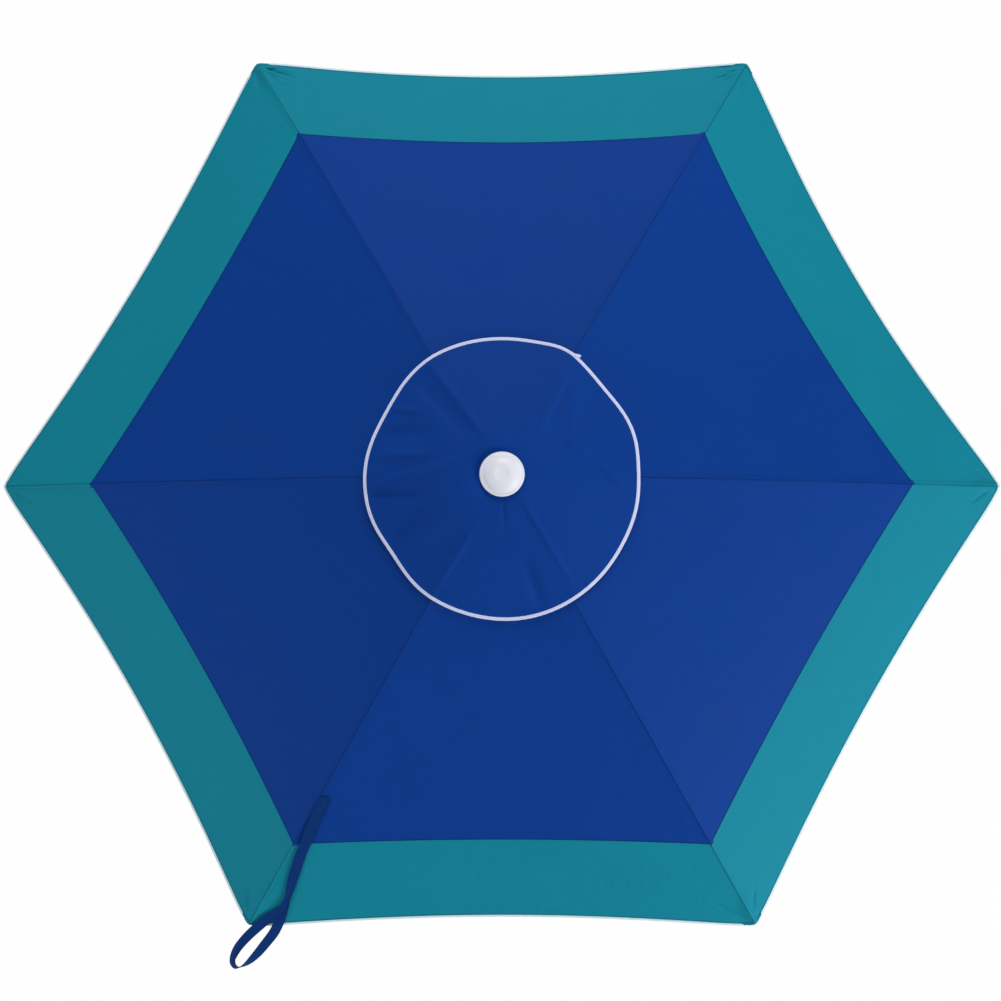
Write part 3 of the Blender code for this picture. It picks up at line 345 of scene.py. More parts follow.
# %% [markdown]
# ### Moulded plastic, powder coat and zinc
#
# The fittings are satin injection mouldings, with a skin that is never quite even. The tubes and rods are
# powder coated, which leaves a fine orange-peel. Rivets, pins and wire are zinc plated, bright but cloudy.

# %% Hard finishes
def hard_finish(name, colour, metallic, rough, grain, depth, spread):
    """Colour that varies by a share called spread, on a skin with grains of a scale and a depth."""
    material, wire, link = new_finish(name, Metallic=metallic)
    place = wire.node("TexCoord").output("Object")
    clouds = place.noise(24.0, 3.0, 0.6)
    specks = place.noise(grain, 2.0, 0.6)
    tone = clouds * 0.7 + specks * 0.3
    link("Base Color", tone.mix(shade(colour, 1 - spread), shade(colour, 1 + spread)))
    link("Roughness", rough + (clouds - 0.5) * 0.22 + (specks - 0.5) * 0.10)
    link("Normal", wire.node("Bump", None, {"Strength": 0.4, "Distance": depth, "Height": specks}))
    return material


white_plastic = hard_finish("white_plastic", (0.80, 0.81, 0.90), 0.0, 0.40, 900.0, 0.00006, 0.03)
white_steel = hard_finish("white_powder_coat", (0.78, 0.79, 0.81), 0.0, 0.34, 520.0, 0.00009, 0.025)
zinc_steel = hard_finish("zinc_plate", (0.60, 0.61, 0.63), 1.0, 0.34, 700.0, 0.00003, 0.10)
print("hard finishes:", white_plastic.name, white_steel.name, zinc_steel.name)

# %% [markdown]
# ## The shape of the canopy
#
# Six bowed ribs carry the cloth, and between two ribs it is stretched nearly flat, with a slight sag and a
# hem that curves inwards. One formula gives the height of the cloth anywhere, so that every sheet, seam
# and tape on it can be placed by asking for a point. Each panel of the photograph has a hem of its own
# hollowness, and that is kept.

# %% Sizes of the canopy
SIDE = math.sin(math.radians(60))  # height of a triangle with equal sides, as a share of a side
CORNER_RADIUS = 0.8808  # where two hems would meet if the corner were sharp
CORNER_BLUNT = 0.0165  # half the width over which it is rounded off
CORNER_SLOPE = 0.577  # of a hem beside the corner, against the line across the rib
BLUNT_START = 0.835  # rows further in than this keep their corner
RIB_END = 0.870
RIB_DROP = 0.260
RIB_BOW = 0.018
VENT_RADIUS = 0.130
JOIN_RADIUS = 0.710
CLOTH_LIFT = 0.0070  # rib's centreline to the top of the cloth
PANEL_SAG = 0.010
HOLLOWS = (0.033, 0.025, 0.014, 0.021, 0.012, 0.014)  # panel after rib 1, rib 2 and so on
HOLLOW_GROWS = 0.45  # over this distance from the vent
HEM_HOLLOW = 0.0145  # more of it at the hem than at the join


def smooth_step(low, high, value):
    """Rises smoothly from 0 at low to 1 at high."""
    share = min(1.0, max(0.0, (value - low) / (high - low)))
    return share * share * (3 - 2 * share)


def rib_height(radius):
    """Centreline of a bowed rib, above the crown hinge."""
    share = (radius - HINGE_RADIUS) / (RIB_END - HINGE_RADIUS)
    return -RIB_DROP * share + 4 * RIB_BOW * share * (1 - share)


def rib_slope(radius):
    share = (radius - HINGE_RADIUS) / (RIB_END - HINGE_RADIUS)
    return math.atan((-RIB_DROP + 4 * RIB_BOW * (1 - 2 * share)) / (RIB_END - HINGE_RADIUS))


def ridge(radius):
    """Top of the cloth over a rib, above the crown hinge."""
    return rib_height(radius) + CLOTH_LIFT / math.cos(rib_slope(radius))


def rib_turn(rib):
    return math.radians(60 * (rib - 1))


print("ribs fall", RIB_DROP, "m from hinge to end")

# %% [markdown]
# ### Creases
#
# Cloth that has been sewn and folded is never quite even. Each crease here is a stroke, as a sculptor
# would draw it: a line from one point to another with a width and a height. Strokes are drawn on the plan
# of the whole canopy, so a crease runs on across the edge between two sheets.

# %% Strokes
def stroke_height(strokes, x, y):
    """The height that a list of strokes adds at a point of the plan."""
    total = 0.0
    for (ax, ay), (bx, by), width, height in strokes:
        dx, dy = bx - ax, by - ay
        part = ((x - ax) * dx + (y - ay) * dy) / (dx * dx + dy * dy)
        if -0.15 < part < 1.15:
            apart = ((x - ax) * dy - (y - ay) * dx) / math.hypot(dx, dy)
            fade = smooth_step(-0.15, 0.25, part) * (1 - smooth_step(0.55, 1.15, part))
            total += height * fade * math.exp(-((apart / width) ** 2))
    return total


print("a stroke is two points, a width and a height")


# %% Creases at the corners
def beside_corner(rib, inset, beside):
    """A point of the plan, from its distance in from a corner and its distance beside the rib."""
    turn = rib_turn(rib)
    out = RIB_END - inset
    return (
        out * math.cos(turn) - beside * math.sin(turn),
        out * math.sin(turn) + beside * math.cos(turn),
    )


CORNER_CREASES = [
    (3, (0.012, -0.006), (0.060, -0.048), 0.0026, -0.0032),
    (3, (0.008, -0.009), (0.050, -0.056), 0.0030, 0.0028),
    (3, (0.020, -0.005), (0.064, -0.034), 0.0028, -0.0030),
    (3, (0.028, -0.008), (0.088, -0.046), 0.0045, 0.0022),
    (3, (0.010, 0.009), (0.050, 0.022), 0.0050, -0.0024),
    (3, (0.014, -0.003), (0.040, -0.022), 0.0022, 0.0026),
    (3, (0.030, -0.005), (0.052, -0.020), 0.0024, -0.0030),
    (3, (0.018, -0.012), (0.034, -0.044), 0.0022, -0.0024),
    (2, (0.014, 0.012), (0.034, 0.052), 0.0024, -0.0024),
    (2, (0.028, 0.004), (0.050, 0.020), 0.0026, -0.0028),
    (2, (0.022, 0.006), (0.046, 0.034), 0.0024, 0.0024),
    (2, (0.014, -0.008), (0.052, -0.018), 0.0050, -0.0026),
    (2, (0.016, 0.005), (0.060, 0.038), 0.0028, -0.0028),
    (2, (0.010, 0.008), (0.054, 0.050), 0.0034, 0.0024),
    (2, (0.024, -0.006), (0.072, -0.030), 0.0034, -0.0020),
    (4, (0.014, 0.006), (0.060, 0.040), 0.0030, -0.0024),
    (4, (0.018, -0.006), (0.064, -0.036), 0.0034, -0.0020),
    (1, (0.014, 0.006), (0.066, 0.042), 0.0032, -0.0022),
    (1, (0.020, -0.006), (0.058, -0.034), 0.0030, -0.0024),
    (5, (0.016, -0.008), (0.060, -0.040), 0.0034, -0.0020),
    (6, (0.014, -0.006), (0.064, -0.044), 0.0030, -0.0026),
    (6, (0.020, 0.006), (0.056, 0.030), 0.0032, -0.0020),
]
canopy_strokes = [
    (beside_corner(rib, *start), beside_corner(rib, *end), width, height)
    for rib, start, end, width, height in CORNER_CREASES
]
print(len(canopy_strokes), "creases at the corners")

# %% Points on the canopy
UNEVEN = 0.0011
UNEVEN_SCALE = 5.5
CREASES_START = 0.7  # no crease reaches further in
BULGE_START, BULGE_FULL = 0.812, 0.842  # where the cloth rises over the pocket at a rib's end
BULGE_HEIGHT = 0.0042
BULGE_WIDTH = 0.0090


def canopy_relief(x, y):
    """Soft unevenness, the creases, and the bulges over the pockets at the rib ends."""
    height = UNEVEN * noise.noise(Vector((UNEVEN_SCALE * x, UNEVEN_SCALE * y, 1.7)))
    if math.hypot(x, y) > CREASES_START:
        height += stroke_height(canopy_strokes, x, y)
        nearest = round(math.atan2(y, x) / math.radians(60)) * math.radians(60)
        along = x * math.cos(nearest) + y * math.sin(nearest)
        beside = y * math.cos(nearest) - x * math.sin(nearest)
        bulge = BULGE_HEIGHT * math.exp(-((beside / BULGE_WIDTH) ** 2))
        height += bulge * smooth_step(BULGE_START, BULGE_FULL, along)
    return height


def canopy_point(rib, radius, share, lift=0.0):
    """Top of the cloth beside a rib: share runs to -0.5 and 0.5 at the middle of the panels."""
    beside = abs(share)
    curve = 4 * beside * (1 - beside)
    hollow = HOLLOWS[(rib - 1 - (share < 0)) % 6] * min(1.0, (radius - VENT_RADIUS) / HOLLOW_GROWS)
    hollow += HEM_HOLLOW * max(0.0, (radius - JOIN_RADIUS) / (CORNER_RADIUS - JOIN_RADIUS))
    radius *= 1 - hollow * curve
    across = radius * share * SIDE
    blunt = CORNER_SLOPE * (math.hypot(across, CORNER_BLUNT) - abs(across))
    along = radius * (1 - beside / 2) - blunt * smooth_step(BLUNT_START, CORNER_RADIUS, radius)
    turn = rib_turn(rib)
    x = along * math.cos(turn) - across * math.sin(turn)
    y = along * math.sin(turn) + across * math.cos(turn)
    height = ridge(radius) - PANEL_SAG * radius / RIB_END * curve + lift / math.cos(rib_slope(radius))
    return Vector((x, y, CROWN + height + canopy_relief(x, y)))


print("hem at mid-panel, mm from the pole:", [
    round(1000 * canopy_point(rib, CORNER_RADIUS, 0.5).to_2d().length) for rib in RIBS
])

# %% [markdown]
# ## Sheets of cloth
#
# On the real umbrella each panel spans two ribs. Here the canopy has to fold with ribs that move one by
# one, so each rib carries a half panel on both its sides, and the halves meet edge to edge in the middle
# with no seam to see. A sheet starts as a flat grid: the grid's own coordinates become the two UV maps, and
# then every vertex moves to its point of the canopy.

# %% Pieces that ride on a body
def finish_piece(name, bm, body, *materials, sharp=None):
    """An object at the origin that rides on a body of the frame."""
    mesh = bpy.data.meshes.new(name)
    for face in bm.faces:
        face.smooth = True
    bm.to_mesh(mesh)
    bm.free()
    for material in materials:
        mesh.materials.append(material)
    if sharp:
        mesh.set_sharp_from_angle(angle=math.radians(sharp))
    thing = bpy.data.objects.new(name, mesh)
    bpy.context.scene.collection.objects.link(thing)
    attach(thing, body)
    return thing


# %% From a grid to a sheet
def sheet_from_grid(columns, rows, weave_of, sewn_of, point_of):
    """A grid whose side, -0.5 to 0.5, and step, 0 to 1, become two UV maps and then points."""
    bm = bmesh.new()
    bmesh.ops.create_grid(bm, x_segments=columns, y_segments=rows, size=0.5)
    weave = bm.loops.layers.uv.new("weave")
    sewn = bm.loops.layers.uv.new("sewn")
    for face in bm.faces:
        for loop in face.loops:
            side, step = loop.vert.co.x, loop.vert.co.y + 0.5
            loop[weave].uv = weave_of(side, step)
            loop[sewn].uv = sewn_of(side, step)
    for vert in bm.verts:
        vert.co = point_of(vert.co.x, vert.co.y + 0.5)
    for edge in bm.edges:
        edge.smooth = not edge.is_boundary
    return bm


CLOTH_THICK = 0.0005
SEAM_THICK = 0.0004
TAPE_THICK = 0.0003


def thicken(thing, thickness, offset=-1.0):
    """Gives a sheet its thickness, below its face unless told otherwise."""
    solid = thing.modifiers.new("thickness", "SOLIDIFY")
    solid.thickness = thickness
    solid.offset = offset
    return thing


def cloth_area(thing):
    return sum(face.area for face in thing.data.polygons)


print("cloth is drawn", 1000 * CLOTH_THICK, "mm thick")

# %% Halves that fold with a rib
HALVES = {-1: "right", 1: "left"}  # of a rib, looking out from the pole
FOLD_SLANT = math.radians(8.5)


def gather(thing, rib, hand=0):
    """Gives a piece a mesh of its own; the slanting axis towards its rib, for a half of hand -1 or 1, is
    worked out but not used.
    """
    turn, fall = rib_turn(rib), math.atan2(RIB_DROP, RIB_END - HINGE_RADIUS)
    out, up = Vector((math.cos(turn), math.sin(turn), 0)), Vector((0, 0, 1))
    across = Vector((-math.sin(turn), math.cos(turn), 0)) * (hand or 1)
    normal = out * math.sin(fall) + up * math.cos(fall)
    slant = FOLD_SLANT * abs(hand)
    axis = across * math.cos(slant) - normal * math.sin(slant)
    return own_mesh(thing)


def half(hand, side, spread=1.0):
    """A grid's columns as places on one half, from 0 at the rib to 0.5: a spread above 1 crowds the rib."""
    return hand * 0.5 * (0.5 + hand * side) ** spread


# %% [markdown]
# ### Blue panels and teal band
#
# The blue cloth runs from the vent to the join, and the teal band laps over its edge with a row of
# stitches. The two are separate sheets, as they were cut, so the join has a real edge, and beside it a
# line of painted shade on the blue stands for the shadow that the edge casts.

# %% Panels and band
LAP = 0.005
BAND_LIFT = 0.0006  # of the band's top over the panels'
HEM_SHADE_LINE = 0.0044  # from the hem to the line of painted shade beside its tape, which stands for the tape's shadow
CROWDED = 1.7  # brings the columns closer together beside a rib
CROWDED_ROWS = 1.5  # and the rows closer together towards the outer edge
SLANT = math.cos(math.radians(30)) / math.cos(math.radians(17))  # rib's distance to distance from a hem


def panel_sheet(name, rib, hand, inner, outer, lift, columns, rows, material, seam_of):
    """Half a panel or band, from one radius to another, which rides on its rib."""
    def radius_at(step):
        return inner + (outer - inner) * (1 - (1 - step) ** CROWDED_ROWS)

    def weave_of(side, step):
        radius = radius_at(step)
        return (radius * (half(hand, side, CROWDED) - 0.5 * hand), radius * SLANT)

    def sewn_of(side, step):
        radius = radius_at(step)
        return (radius * half(hand, side, CROWDED), seam_of(radius))

    def point_of(side, step):
        return canopy_point(rib, radius_at(step), half(hand, side, CROWDED), lift)

    bm = sheet_from_grid(columns, rows, weave_of, sewn_of, point_of)
    made = finish_piece(f"{name}_{rib}_{HALVES[hand]}", bm, f"rib_{rib}", material)
    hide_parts(f"canopy_gore_{rib}")
    return thicken(gather(made, rib, hand), CLOTH_THICK)


def panel_seam(radius):
    """Distance from the panel's outer edge, which the band covers; the painted shade line at the fold's
    distance falls just beside the band's edge.
    """
    return (JOIN_RADIUS + LAP - radius) * SLANT


def band_seam(radius):
    """Puts the painted shade line, which stands for the tape's shadow, just inside the hem tape."""
    return SEAM_FOLD + (CORNER_RADIUS - radius) * SLANT - HEM_SHADE_LINE


panels, bands = {}, {}
ALL_HALVES = [(rib, hand) for rib in RIBS for hand in HALVES]
for rib, hand in ALL_HALVES:
    panels[rib, hand] = panel_sheet(
        "panel", rib, hand, VENT_RADIUS, JOIN_RADIUS + LAP, 0.0, 32, 58, blue_cloth, panel_seam
    )
    bands[rib, hand] = panel_sheet(
        "band", rib, hand, JOIN_RADIUS - LAP, CORNER_RADIUS, BAND_LIFT, 110, 84, teal_cloth, band_seam
    )
print("half panel", round(cloth_area(panels[1, 1]), 4), "m2, band", round(cloth_area(bands[1, 1]), 4), "m2")

# %% [markdown]
# ### Seams along the ribs
#
# Two panels are joined by a felled seam: the edges are folded to one side and stitched down, which leaves
# a flat ridge about 8 mm wide beside each rib. It is a strip of cloth that lies on the sheets, blue and
# then teal, because the seam was sewn after the band.

# %% Rib seams
SEAM_WIDTH = 0.0078
SEAM_SHORT = 0.003  # of the vent and of the corner
SEAM_PAST_RIB = 0.0010  # how far it reaches over the rib to the other side
SEAM_LIFT = 0.0002
SEAM_ON_BAND = 0.0007  # more lift where it crosses on to the band
SEAM_PUFF = 0.0005  # and along its folded edge


def rib_seam(rib):
    """The felled seam of one rib, with the two colours as its two materials."""
    def radius_at(step):
        return VENT_RADIUS + SEAM_SHORT + (CORNER_RADIUS - 2 * SEAM_SHORT - VENT_RADIUS) * step

    def uv_of(side, step):
        # this UV puts the strong painted shade line along the seam's folded edge, and the faint one by its
        # free edge
        return (radius_at(step), SEAM_FOLD - (side + 0.5) * SEAM_WIDTH)

    def point_of(side, step):
        radius = radius_at(step)
        beside = (side + 0.5) * SEAM_WIDTH - SEAM_PAST_RIB
        lift = SEAM_LIFT + SEAM_ON_BAND * smooth_step(JOIN_RADIUS - 0.010, JOIN_RADIUS - 0.004, radius)
        lift += SEAM_PUFF * (1 - smooth_step(-0.3, 0.5, side))
        return canopy_point(rib, radius, beside / (radius * SIDE), lift)

    bm = sheet_from_grid(6, 140, uv_of, uv_of, point_of)
    weave = bm.loops.layers.uv["weave"]
    for face in bm.faces:
        face.material_index = int(face.loops[0][weave].uv.x > JOIN_RADIUS - LAP)
    seam = finish_piece(f"rib_seam_{rib}", bm, f"rib_{rib}", blue_cloth, teal_cloth)
    thicken(gather(seam, rib, 1), SEAM_THICK)


for rib in RIBS:
    rib_seam(rib)
print("six felled seams,", SEAM_WIDTH, "m wide")

# %% [markdown]
# ### Edge tapes
#
# A narrow white tape is folded over the hem, and a wider one over the edge of the vent cap. Seen in
# section a folded tape is a U round the cloth, so the grid's short side runs round that U: how far in from
# the edge, and how far above or below the cloth.

# %% Tape section
TAPE_BEND = 0.45  # of the section goes round the edge, and the rest lies flat
TAPE_REACH = 0.0042  # from a tape's fold to its edges, as the stitches see it


def tape_section(step, width, thick):
    """How far in from the edge and how far above the cloth's top a folded tape is, round its U."""
    turn = (step - 0.5) * 2
    if abs(turn) > TAPE_BEND:
        inset = width * (abs(turn) - TAPE_BEND) / (1 - TAPE_BEND)
        above = thick * (0.5 + 0.15 * smooth_step(1.0, 0.6, abs(turn)))
    else:
        bend = turn / TAPE_BEND * math.pi / 2
        inset = -thick * math.cos(bend)
        above = thick * 0.65 * abs(math.sin(bend))
    return inset, math.copysign(above, -turn)


def tape_uv(length, step):
    """Along the tape and away from its fold, which puts the stitches near its edges."""
    return (length, abs(step - 0.5) * 2 * TAPE_REACH)


print("stitches", round(1000 * (TAPE_REACH - STITCH_INSET), 1), "mm from a tape's edges")

# %% Hem tape
HEM_TAPE = 0.0034
HEM_TAPE_HIGH = 0.0011
HEM_TAPE_LIFT = 0.0004
TUCK_HALF = 0.014  # how far to each side of a rib the tape is tucked in
TUCK_IN = 0.0024
TUCK_DOWN = 0.0016


def hem_tape(rib, hand, tucked):
    """The hem's tape, tucked under the cloth at the rib where the corner is folded over it."""
    def uv_of(side, step):
        return tape_uv(CORNER_RADIUS * half(hand, side, CROWDED), step)

    def point_of(side, step):
        share = half(hand, side, CROWDED)
        inset, above = tape_section(step, HEM_TAPE, HEM_TAPE_HIGH)
        hidden = tucked * math.exp(-((CORNER_RADIUS * SIDE * share / TUCK_HALF) ** 4))
        radius = CORNER_RADIUS - (inset + TUCK_IN * hidden) / SLANT
        return canopy_point(rib, radius, share, HEM_TAPE_LIFT + above - TUCK_DOWN * hidden)

    bm = sheet_from_grid(80, 12, uv_of, uv_of, point_of)
    tape = finish_piece(f"hem_tape_{rib}_{HALVES[hand]}", bm, f"rib_{rib}", tape_hem)
    thicken(gather(tape, rib, hand), TAPE_THICK, 0.0)


UNTUCKED = (1, 4)  # the ribs at the right and left, where the tape goes on round the corner
for rib, hand in ALL_HALVES:
    hem_tape(rib, hand, 0.0 if rib in UNTUCKED else 1.0)
print("hem tape shows", HEM_TAPE, "m")

# %% Vent hem
VENT_HEM = 0.009
VENT_HEM_HIGH = 0.0009


def vent_hem(rib, hand):
    """The edge of the vent, turned over and sewn down with the panel's own cloth."""
    def uv_of(side, step):
        return (VENT_RADIUS * half(hand, side), abs(step - 0.5) * 0.02)

    def point_of(side, step):
        inset, above = tape_section(step, VENT_HEM, VENT_HEM_HIGH)
        radius = VENT_RADIUS + max(inset, -0.0008) / SLANT
        return canopy_point(rib, radius, half(hand, side), above - 0.0002)

    bm = sheet_from_grid(12, 12, uv_of, uv_of, point_of)
    hem = finish_piece(f"vent_hem_{rib}_{HALVES[hand]}", bm, f"rib_{rib}", blue_cloth)
    thicken(gather(hem, rib, hand), TAPE_THICK, 0.0)


for rib, hand in ALL_HALVES:
    vent_hem(rib, hand)
print("vent hem round", round(2 * VENT_RADIUS, 3), "m")

# %% [markdown]
# ### Pockets at the corners
#
# Each rib end sits in a small pocket under the corner of the band, which holds the cloth tight and makes
# the rounded bulge seen from above. The pocket is a flat sleeve that lies against the cloth on top, runs
# under the white end cap, and closes just past it, so that it still covers the cap when the ribs fold.

# %% Corner pockets
POCKET_BEND = 0.8638  # where the pocket turns up in front of the end cap
POCKET_NOSE = 0.0085
POCKET_DEPTH = 0.0178
POCKET_SHALLOW = 0.0053  # how much less deep its mouth is
POCKET_HALF = 0.0165
POCKET_NARROWS = 0.35  # of its width, at the nose
POCKET_GAP = 0.0004  # below the top of the cloth


def pocket_profile(step):
    """Distance along the rib and depth below the cloth, from the pocket's mouth to its nose."""
    if step < 0.6:
        along = BULGE_START + (POCKET_BEND - BULGE_START) * step / 0.6
        return along, POCKET_DEPTH - POCKET_SHALLOW * smooth_step(BULGE_FULL, BULGE_START, along)
    turn = (step - 0.6) / 0.4 * math.pi / 2
    return POCKET_BEND + POCKET_NOSE * math.sin(turn), POCKET_DEPTH * math.cos(turn)


def sheet_radius(along):
    """The radius to ask canopy_point for, as the rounded corner draws the cloth in along the rib."""
    radius = along
    for _ in range(4):
        radius = along + CORNER_SLOPE * CORNER_BLUNT * smooth_step(BLUNT_START, CORNER_RADIUS, radius)
    return radius


def corner_pocket(rib):
    """A sleeve: side runs from under the rib to an edge, a quarter of the grid away, and back on top."""
    def weave_of(side, step):
        return (4 * side * POCKET_HALF, pocket_profile(step)[0])

    def sewn_of(side, step):
        return (pocket_profile(step)[0], abs(1 - 4 * abs(side)) * POCKET_HALF)

    def point_of(side, step):
        along, depth = pocket_profile(step)
        radius = sheet_radius(along)
        reach = 1 - abs(1 - 4 * abs(side))
        narrowed = 1 - POCKET_NARROWS * smooth_step(0.5, 1.0, step)
        beside = math.copysign(reach, side) * POCKET_HALF * narrowed
        depth = depth * (1 - reach ** 3) if abs(side) < 0.25 else 0.0
        return canopy_point(rib, radius, beside / (radius * SIDE), -POCKET_GAP - depth)

    bm = sheet_from_grid(40, 32, weave_of, sewn_of, point_of)
    bmesh.ops.reverse_faces(bm, faces=bm.faces)
    pocket = finish_piece(f"corner_pocket_{rib}", bm, f"rib_{rib}", teal_cloth)
    thicken(gather(pocket, rib), SEAM_THICK)


for rib in RIBS:
    corner_pocket(rib)
print("six corner pockets,", 2 * POCKET_HALF, "m wide")

# %% [markdown]
# ## The vent cap
#
# The cap is a small round canopy that lies over the vent. It hangs from under the finial, rests near the
# ribs and dips between them, and the photograph shows folds on its left side. It is made as the canopy
# was: one formula for its height, strokes for its folds, and half sheets that meet between the ribs.

# %% Edge and folds of the cap
CAP_RADIUS = 0.228
EDGE_DIPS = (  # direction and width in degrees, and the share by which the edge is drawn in there
    (2, 13, 0.022), (40, 14, 0.029), (64, 9, -0.024), (150, 18, 0.040),
    (178, 34, 0.018), (215, 15, 0.040), (280, 24, -0.017), (335, 20, 0.0155),
)
CAP_FOLDS = [  # each point is a direction in degrees and a radius
    ((123, 0.219), (112, 0.057), 0.0070, 0.0052),
    ((131, 0.215), (131, 0.075), 0.0120, -0.0044),
    ((181, 0.150), (157, 0.071), 0.0056, 0.0068),
    ((184, 0.205), (176, 0.130), 0.0046, 0.0050),
    ((187, 0.222), (196, 0.115), 0.0080, -0.0072),
    ((148, 0.208), (140, 0.160), 0.0064, 0.0046),
    ((170.5, 0.204), (164, 0.118), 0.0070, 0.0050),
    ((161, 0.205), (147, 0.125), 0.0140, -0.0066),
    ((212, 0.215), (203, 0.110), 0.0160, -0.0066),
    ((221, 0.215), (214, 0.100), 0.0090, 0.0028),
    ((239, 0.223), (243, 0.094), 0.0060, 0.0034),
    ((233, 0.215), (233, 0.110), 0.0120, -0.0030),
    ((271, 0.040), (273, 0.090), 0.0040, -0.0018),
    ((-51, 0.050), (-57, 0.225), 0.0055, 0.0034),
    ((-73, 0.218), (-76, 0.135), 0.0090, -0.0040),
    ((58, 0.205), (50, 0.084), 0.0060, 0.0034),
    ((53, 0.180), (46, 0.105), 0.0080, -0.0036),
    ((44, 0.160), (22, 0.118), 0.0070, 0.0018),
    ((40, 0.216), (38, 0.085), 0.0160, -0.0036),
    ((32, 0.118), (8, 0.155), 0.0060, 0.0022),
    ((10, 0.150), (-8, 0.208), 0.0060, 0.0026),
]


def on_plan(degrees, radius):
    return (radius * math.cos(math.radians(degrees)), radius * math.sin(math.radians(degrees)))


cap_strokes = [(on_plan(*start), on_plan(*end), width, height) for start, end, width, height in CAP_FOLDS]


def cap_reach(angle):
    """The cap's edge, from the pole axis: drawn in where it hangs between two ribs."""
    pulled = 0.0
    for degrees, width, share in EDGE_DIPS:
        apart = (math.degrees(angle) - degrees + 180) % 360 - 180
        pulled += share * math.exp(-((apart / width) ** 2))
    return CAP_RADIUS * (1 - pulled)


print(len(cap_strokes), "folds on the cap")

# %% Points on the cap
CAP_FLAT = 0.040
CAP_TOP = 0.0077
CAP_CLEAR = 0.0044  # of the cap's edge over the ridge of the canopy
CAP_EDGE = ridge(CAP_RADIUS) + CAP_CLEAR
CAP_SINKS = (0.0060, 0.0035)  # a sharp and a round part of the dip between two ribs
CAP_BILLOW = 0.0020
CAP_BLOWN = 0.0120  # more of it on the side that the folds are on
BLOWN_SIDE = math.radians(165)
CAP_UNEVEN = 0.0010
CAP_UNEVEN_SCALE = 14


def cap_point(angle, radius, lift=0.0):
    """Top of the cap's cloth at an angle round the pole and a distance from its axis."""
    x, y = radius * math.cos(angle), radius * math.sin(angle)
    part = max(0.0, (radius - CAP_FLAT) / (CAP_RADIUS - CAP_FLAT))
    between = abs(math.sin(3 * angle))
    sink = (CAP_SINKS[0] * between + CAP_SINKS[1] * between * between) * part ** 1.5
    blown = CAP_BILLOW + CAP_BLOWN * (0.5 + 0.5 * math.cos(angle - BLOWN_SIDE)) ** 2
    height = CAP_TOP + (CAP_EDGE - CAP_TOP) * part + blown * math.sin(math.pi * min(1.0, part) ** 0.6)
    uneven = noise.noise(Vector((CAP_UNEVEN_SCALE * x, CAP_UNEVEN_SCALE * y, 4.2)))
    folds = stroke_height(cap_strokes, x, y) + CAP_UNEVEN * part * uneven
    return Vector((x, y, CROWN + height - sink + folds + lift))


print("the cap falls", round(CAP_TOP - CAP_EDGE, 3), "m to its edge")

# %% Cap sheets
CAP_START = 0.0300
SECTOR = math.radians(60)
UNSEWN = 0.1  # a distance from any seam at which no stitch is drawn


def cap_angle(rib, hand, side):
    return rib_turn(rib) + SECTOR * half(hand, side)


def cap_sheet(rib, hand):
    """Half a sector of the cap, from under its middle to its edge."""
    def radius_at(side, step):
        return CAP_START + (cap_reach(cap_angle(rib, hand, side)) - CAP_START) * step

    def weave_of(side, step):
        radius = CAP_START + (CAP_RADIUS - CAP_START) * step
        return (radius * SECTOR * (half(hand, side) - 0.5 * hand), radius)

    def sewn_of(side, step):
        return (radius_at(side, step) * SECTOR * half(hand, side), UNSEWN)

    def point_of(side, step):
        return cap_point(cap_angle(rib, hand, side), radius_at(side, step))

    bm = sheet_from_grid(42, 84, weave_of, sewn_of, point_of)
    cap = finish_piece(f"cap_sheet_{rib}_{HALVES[hand]}", bm, f"rib_{rib}", blue_cloth)
    thicken(gather(cap, rib, hand), CLOTH_THICK)


CAP_TAPE = 0.0038
CAP_TAPE_HIGH = 0.0016
CAP_TAPE_DROP = 0.0003
CAP_TAPE_THICK = 0.0004


def cap_tape(rib, hand):
    """The white tape round the edge of half a sector."""
    def uv_of(side, step):
        return tape_uv(CAP_RADIUS * SECTOR * half(hand, side), step)

    def point_of(side, step):
        inset, above = tape_section(step, CAP_TAPE, CAP_TAPE_HIGH)
        angle = cap_angle(rib, hand, side)
        return cap_point(angle, cap_reach(angle) - inset, above - CAP_TAPE_DROP)

    bm = sheet_from_grid(42, 12, uv_of, uv_of, point_of)
    tape = finish_piece(f"cap_tape_{rib}_{HALVES[hand]}", bm, f"rib_{rib}", tape_white)
    thicken(gather(tape, rib, hand), CAP_TAPE_THICK, 0.0)


for rib, hand in ALL_HALVES:
    cap_sheet(rib, hand)
    cap_tape(rib, hand)
print("vent cap", round(2 * CAP_RADIUS, 3), "m across")

# %% [markdown]
# ### The cap's middle and the end of its tape
#
# Under the finial the cap is a flat ring that stays on the pole while the sheets swing down. A ring is
# quickest as a profile that is spun round the pole. Where the white tape meets itself, one end laps over
# the other and sticks out a little, as in the photograph.

# %% Middle of the cap
def turned(profile, steps, place):
    """Spins (radius, height) points round the pole's direction and puts the shape in its place."""
    bm = bmesh.new()
    verts = [bm.verts.new((radius, 0, height)) for radius, height in profile]
    edges = [bm.edges.new(pair) for pair in zip(verts, verts[1:])]
    bmesh.ops.spin(
        bm, geom=verts + edges, axis=(0, 0, 1), cent=(0, 0, 0), steps=steps, angle=math.tau, use_merge=True
    )
    bmesh.ops.remove_doubles(bm, verts=bm.verts, dist=1e-6)
    bmesh.ops.recalc_face_normals(bm, faces=bm.faces)
    bmesh.ops.transform(bm, matrix=place, verts=bm.verts)
    return bm


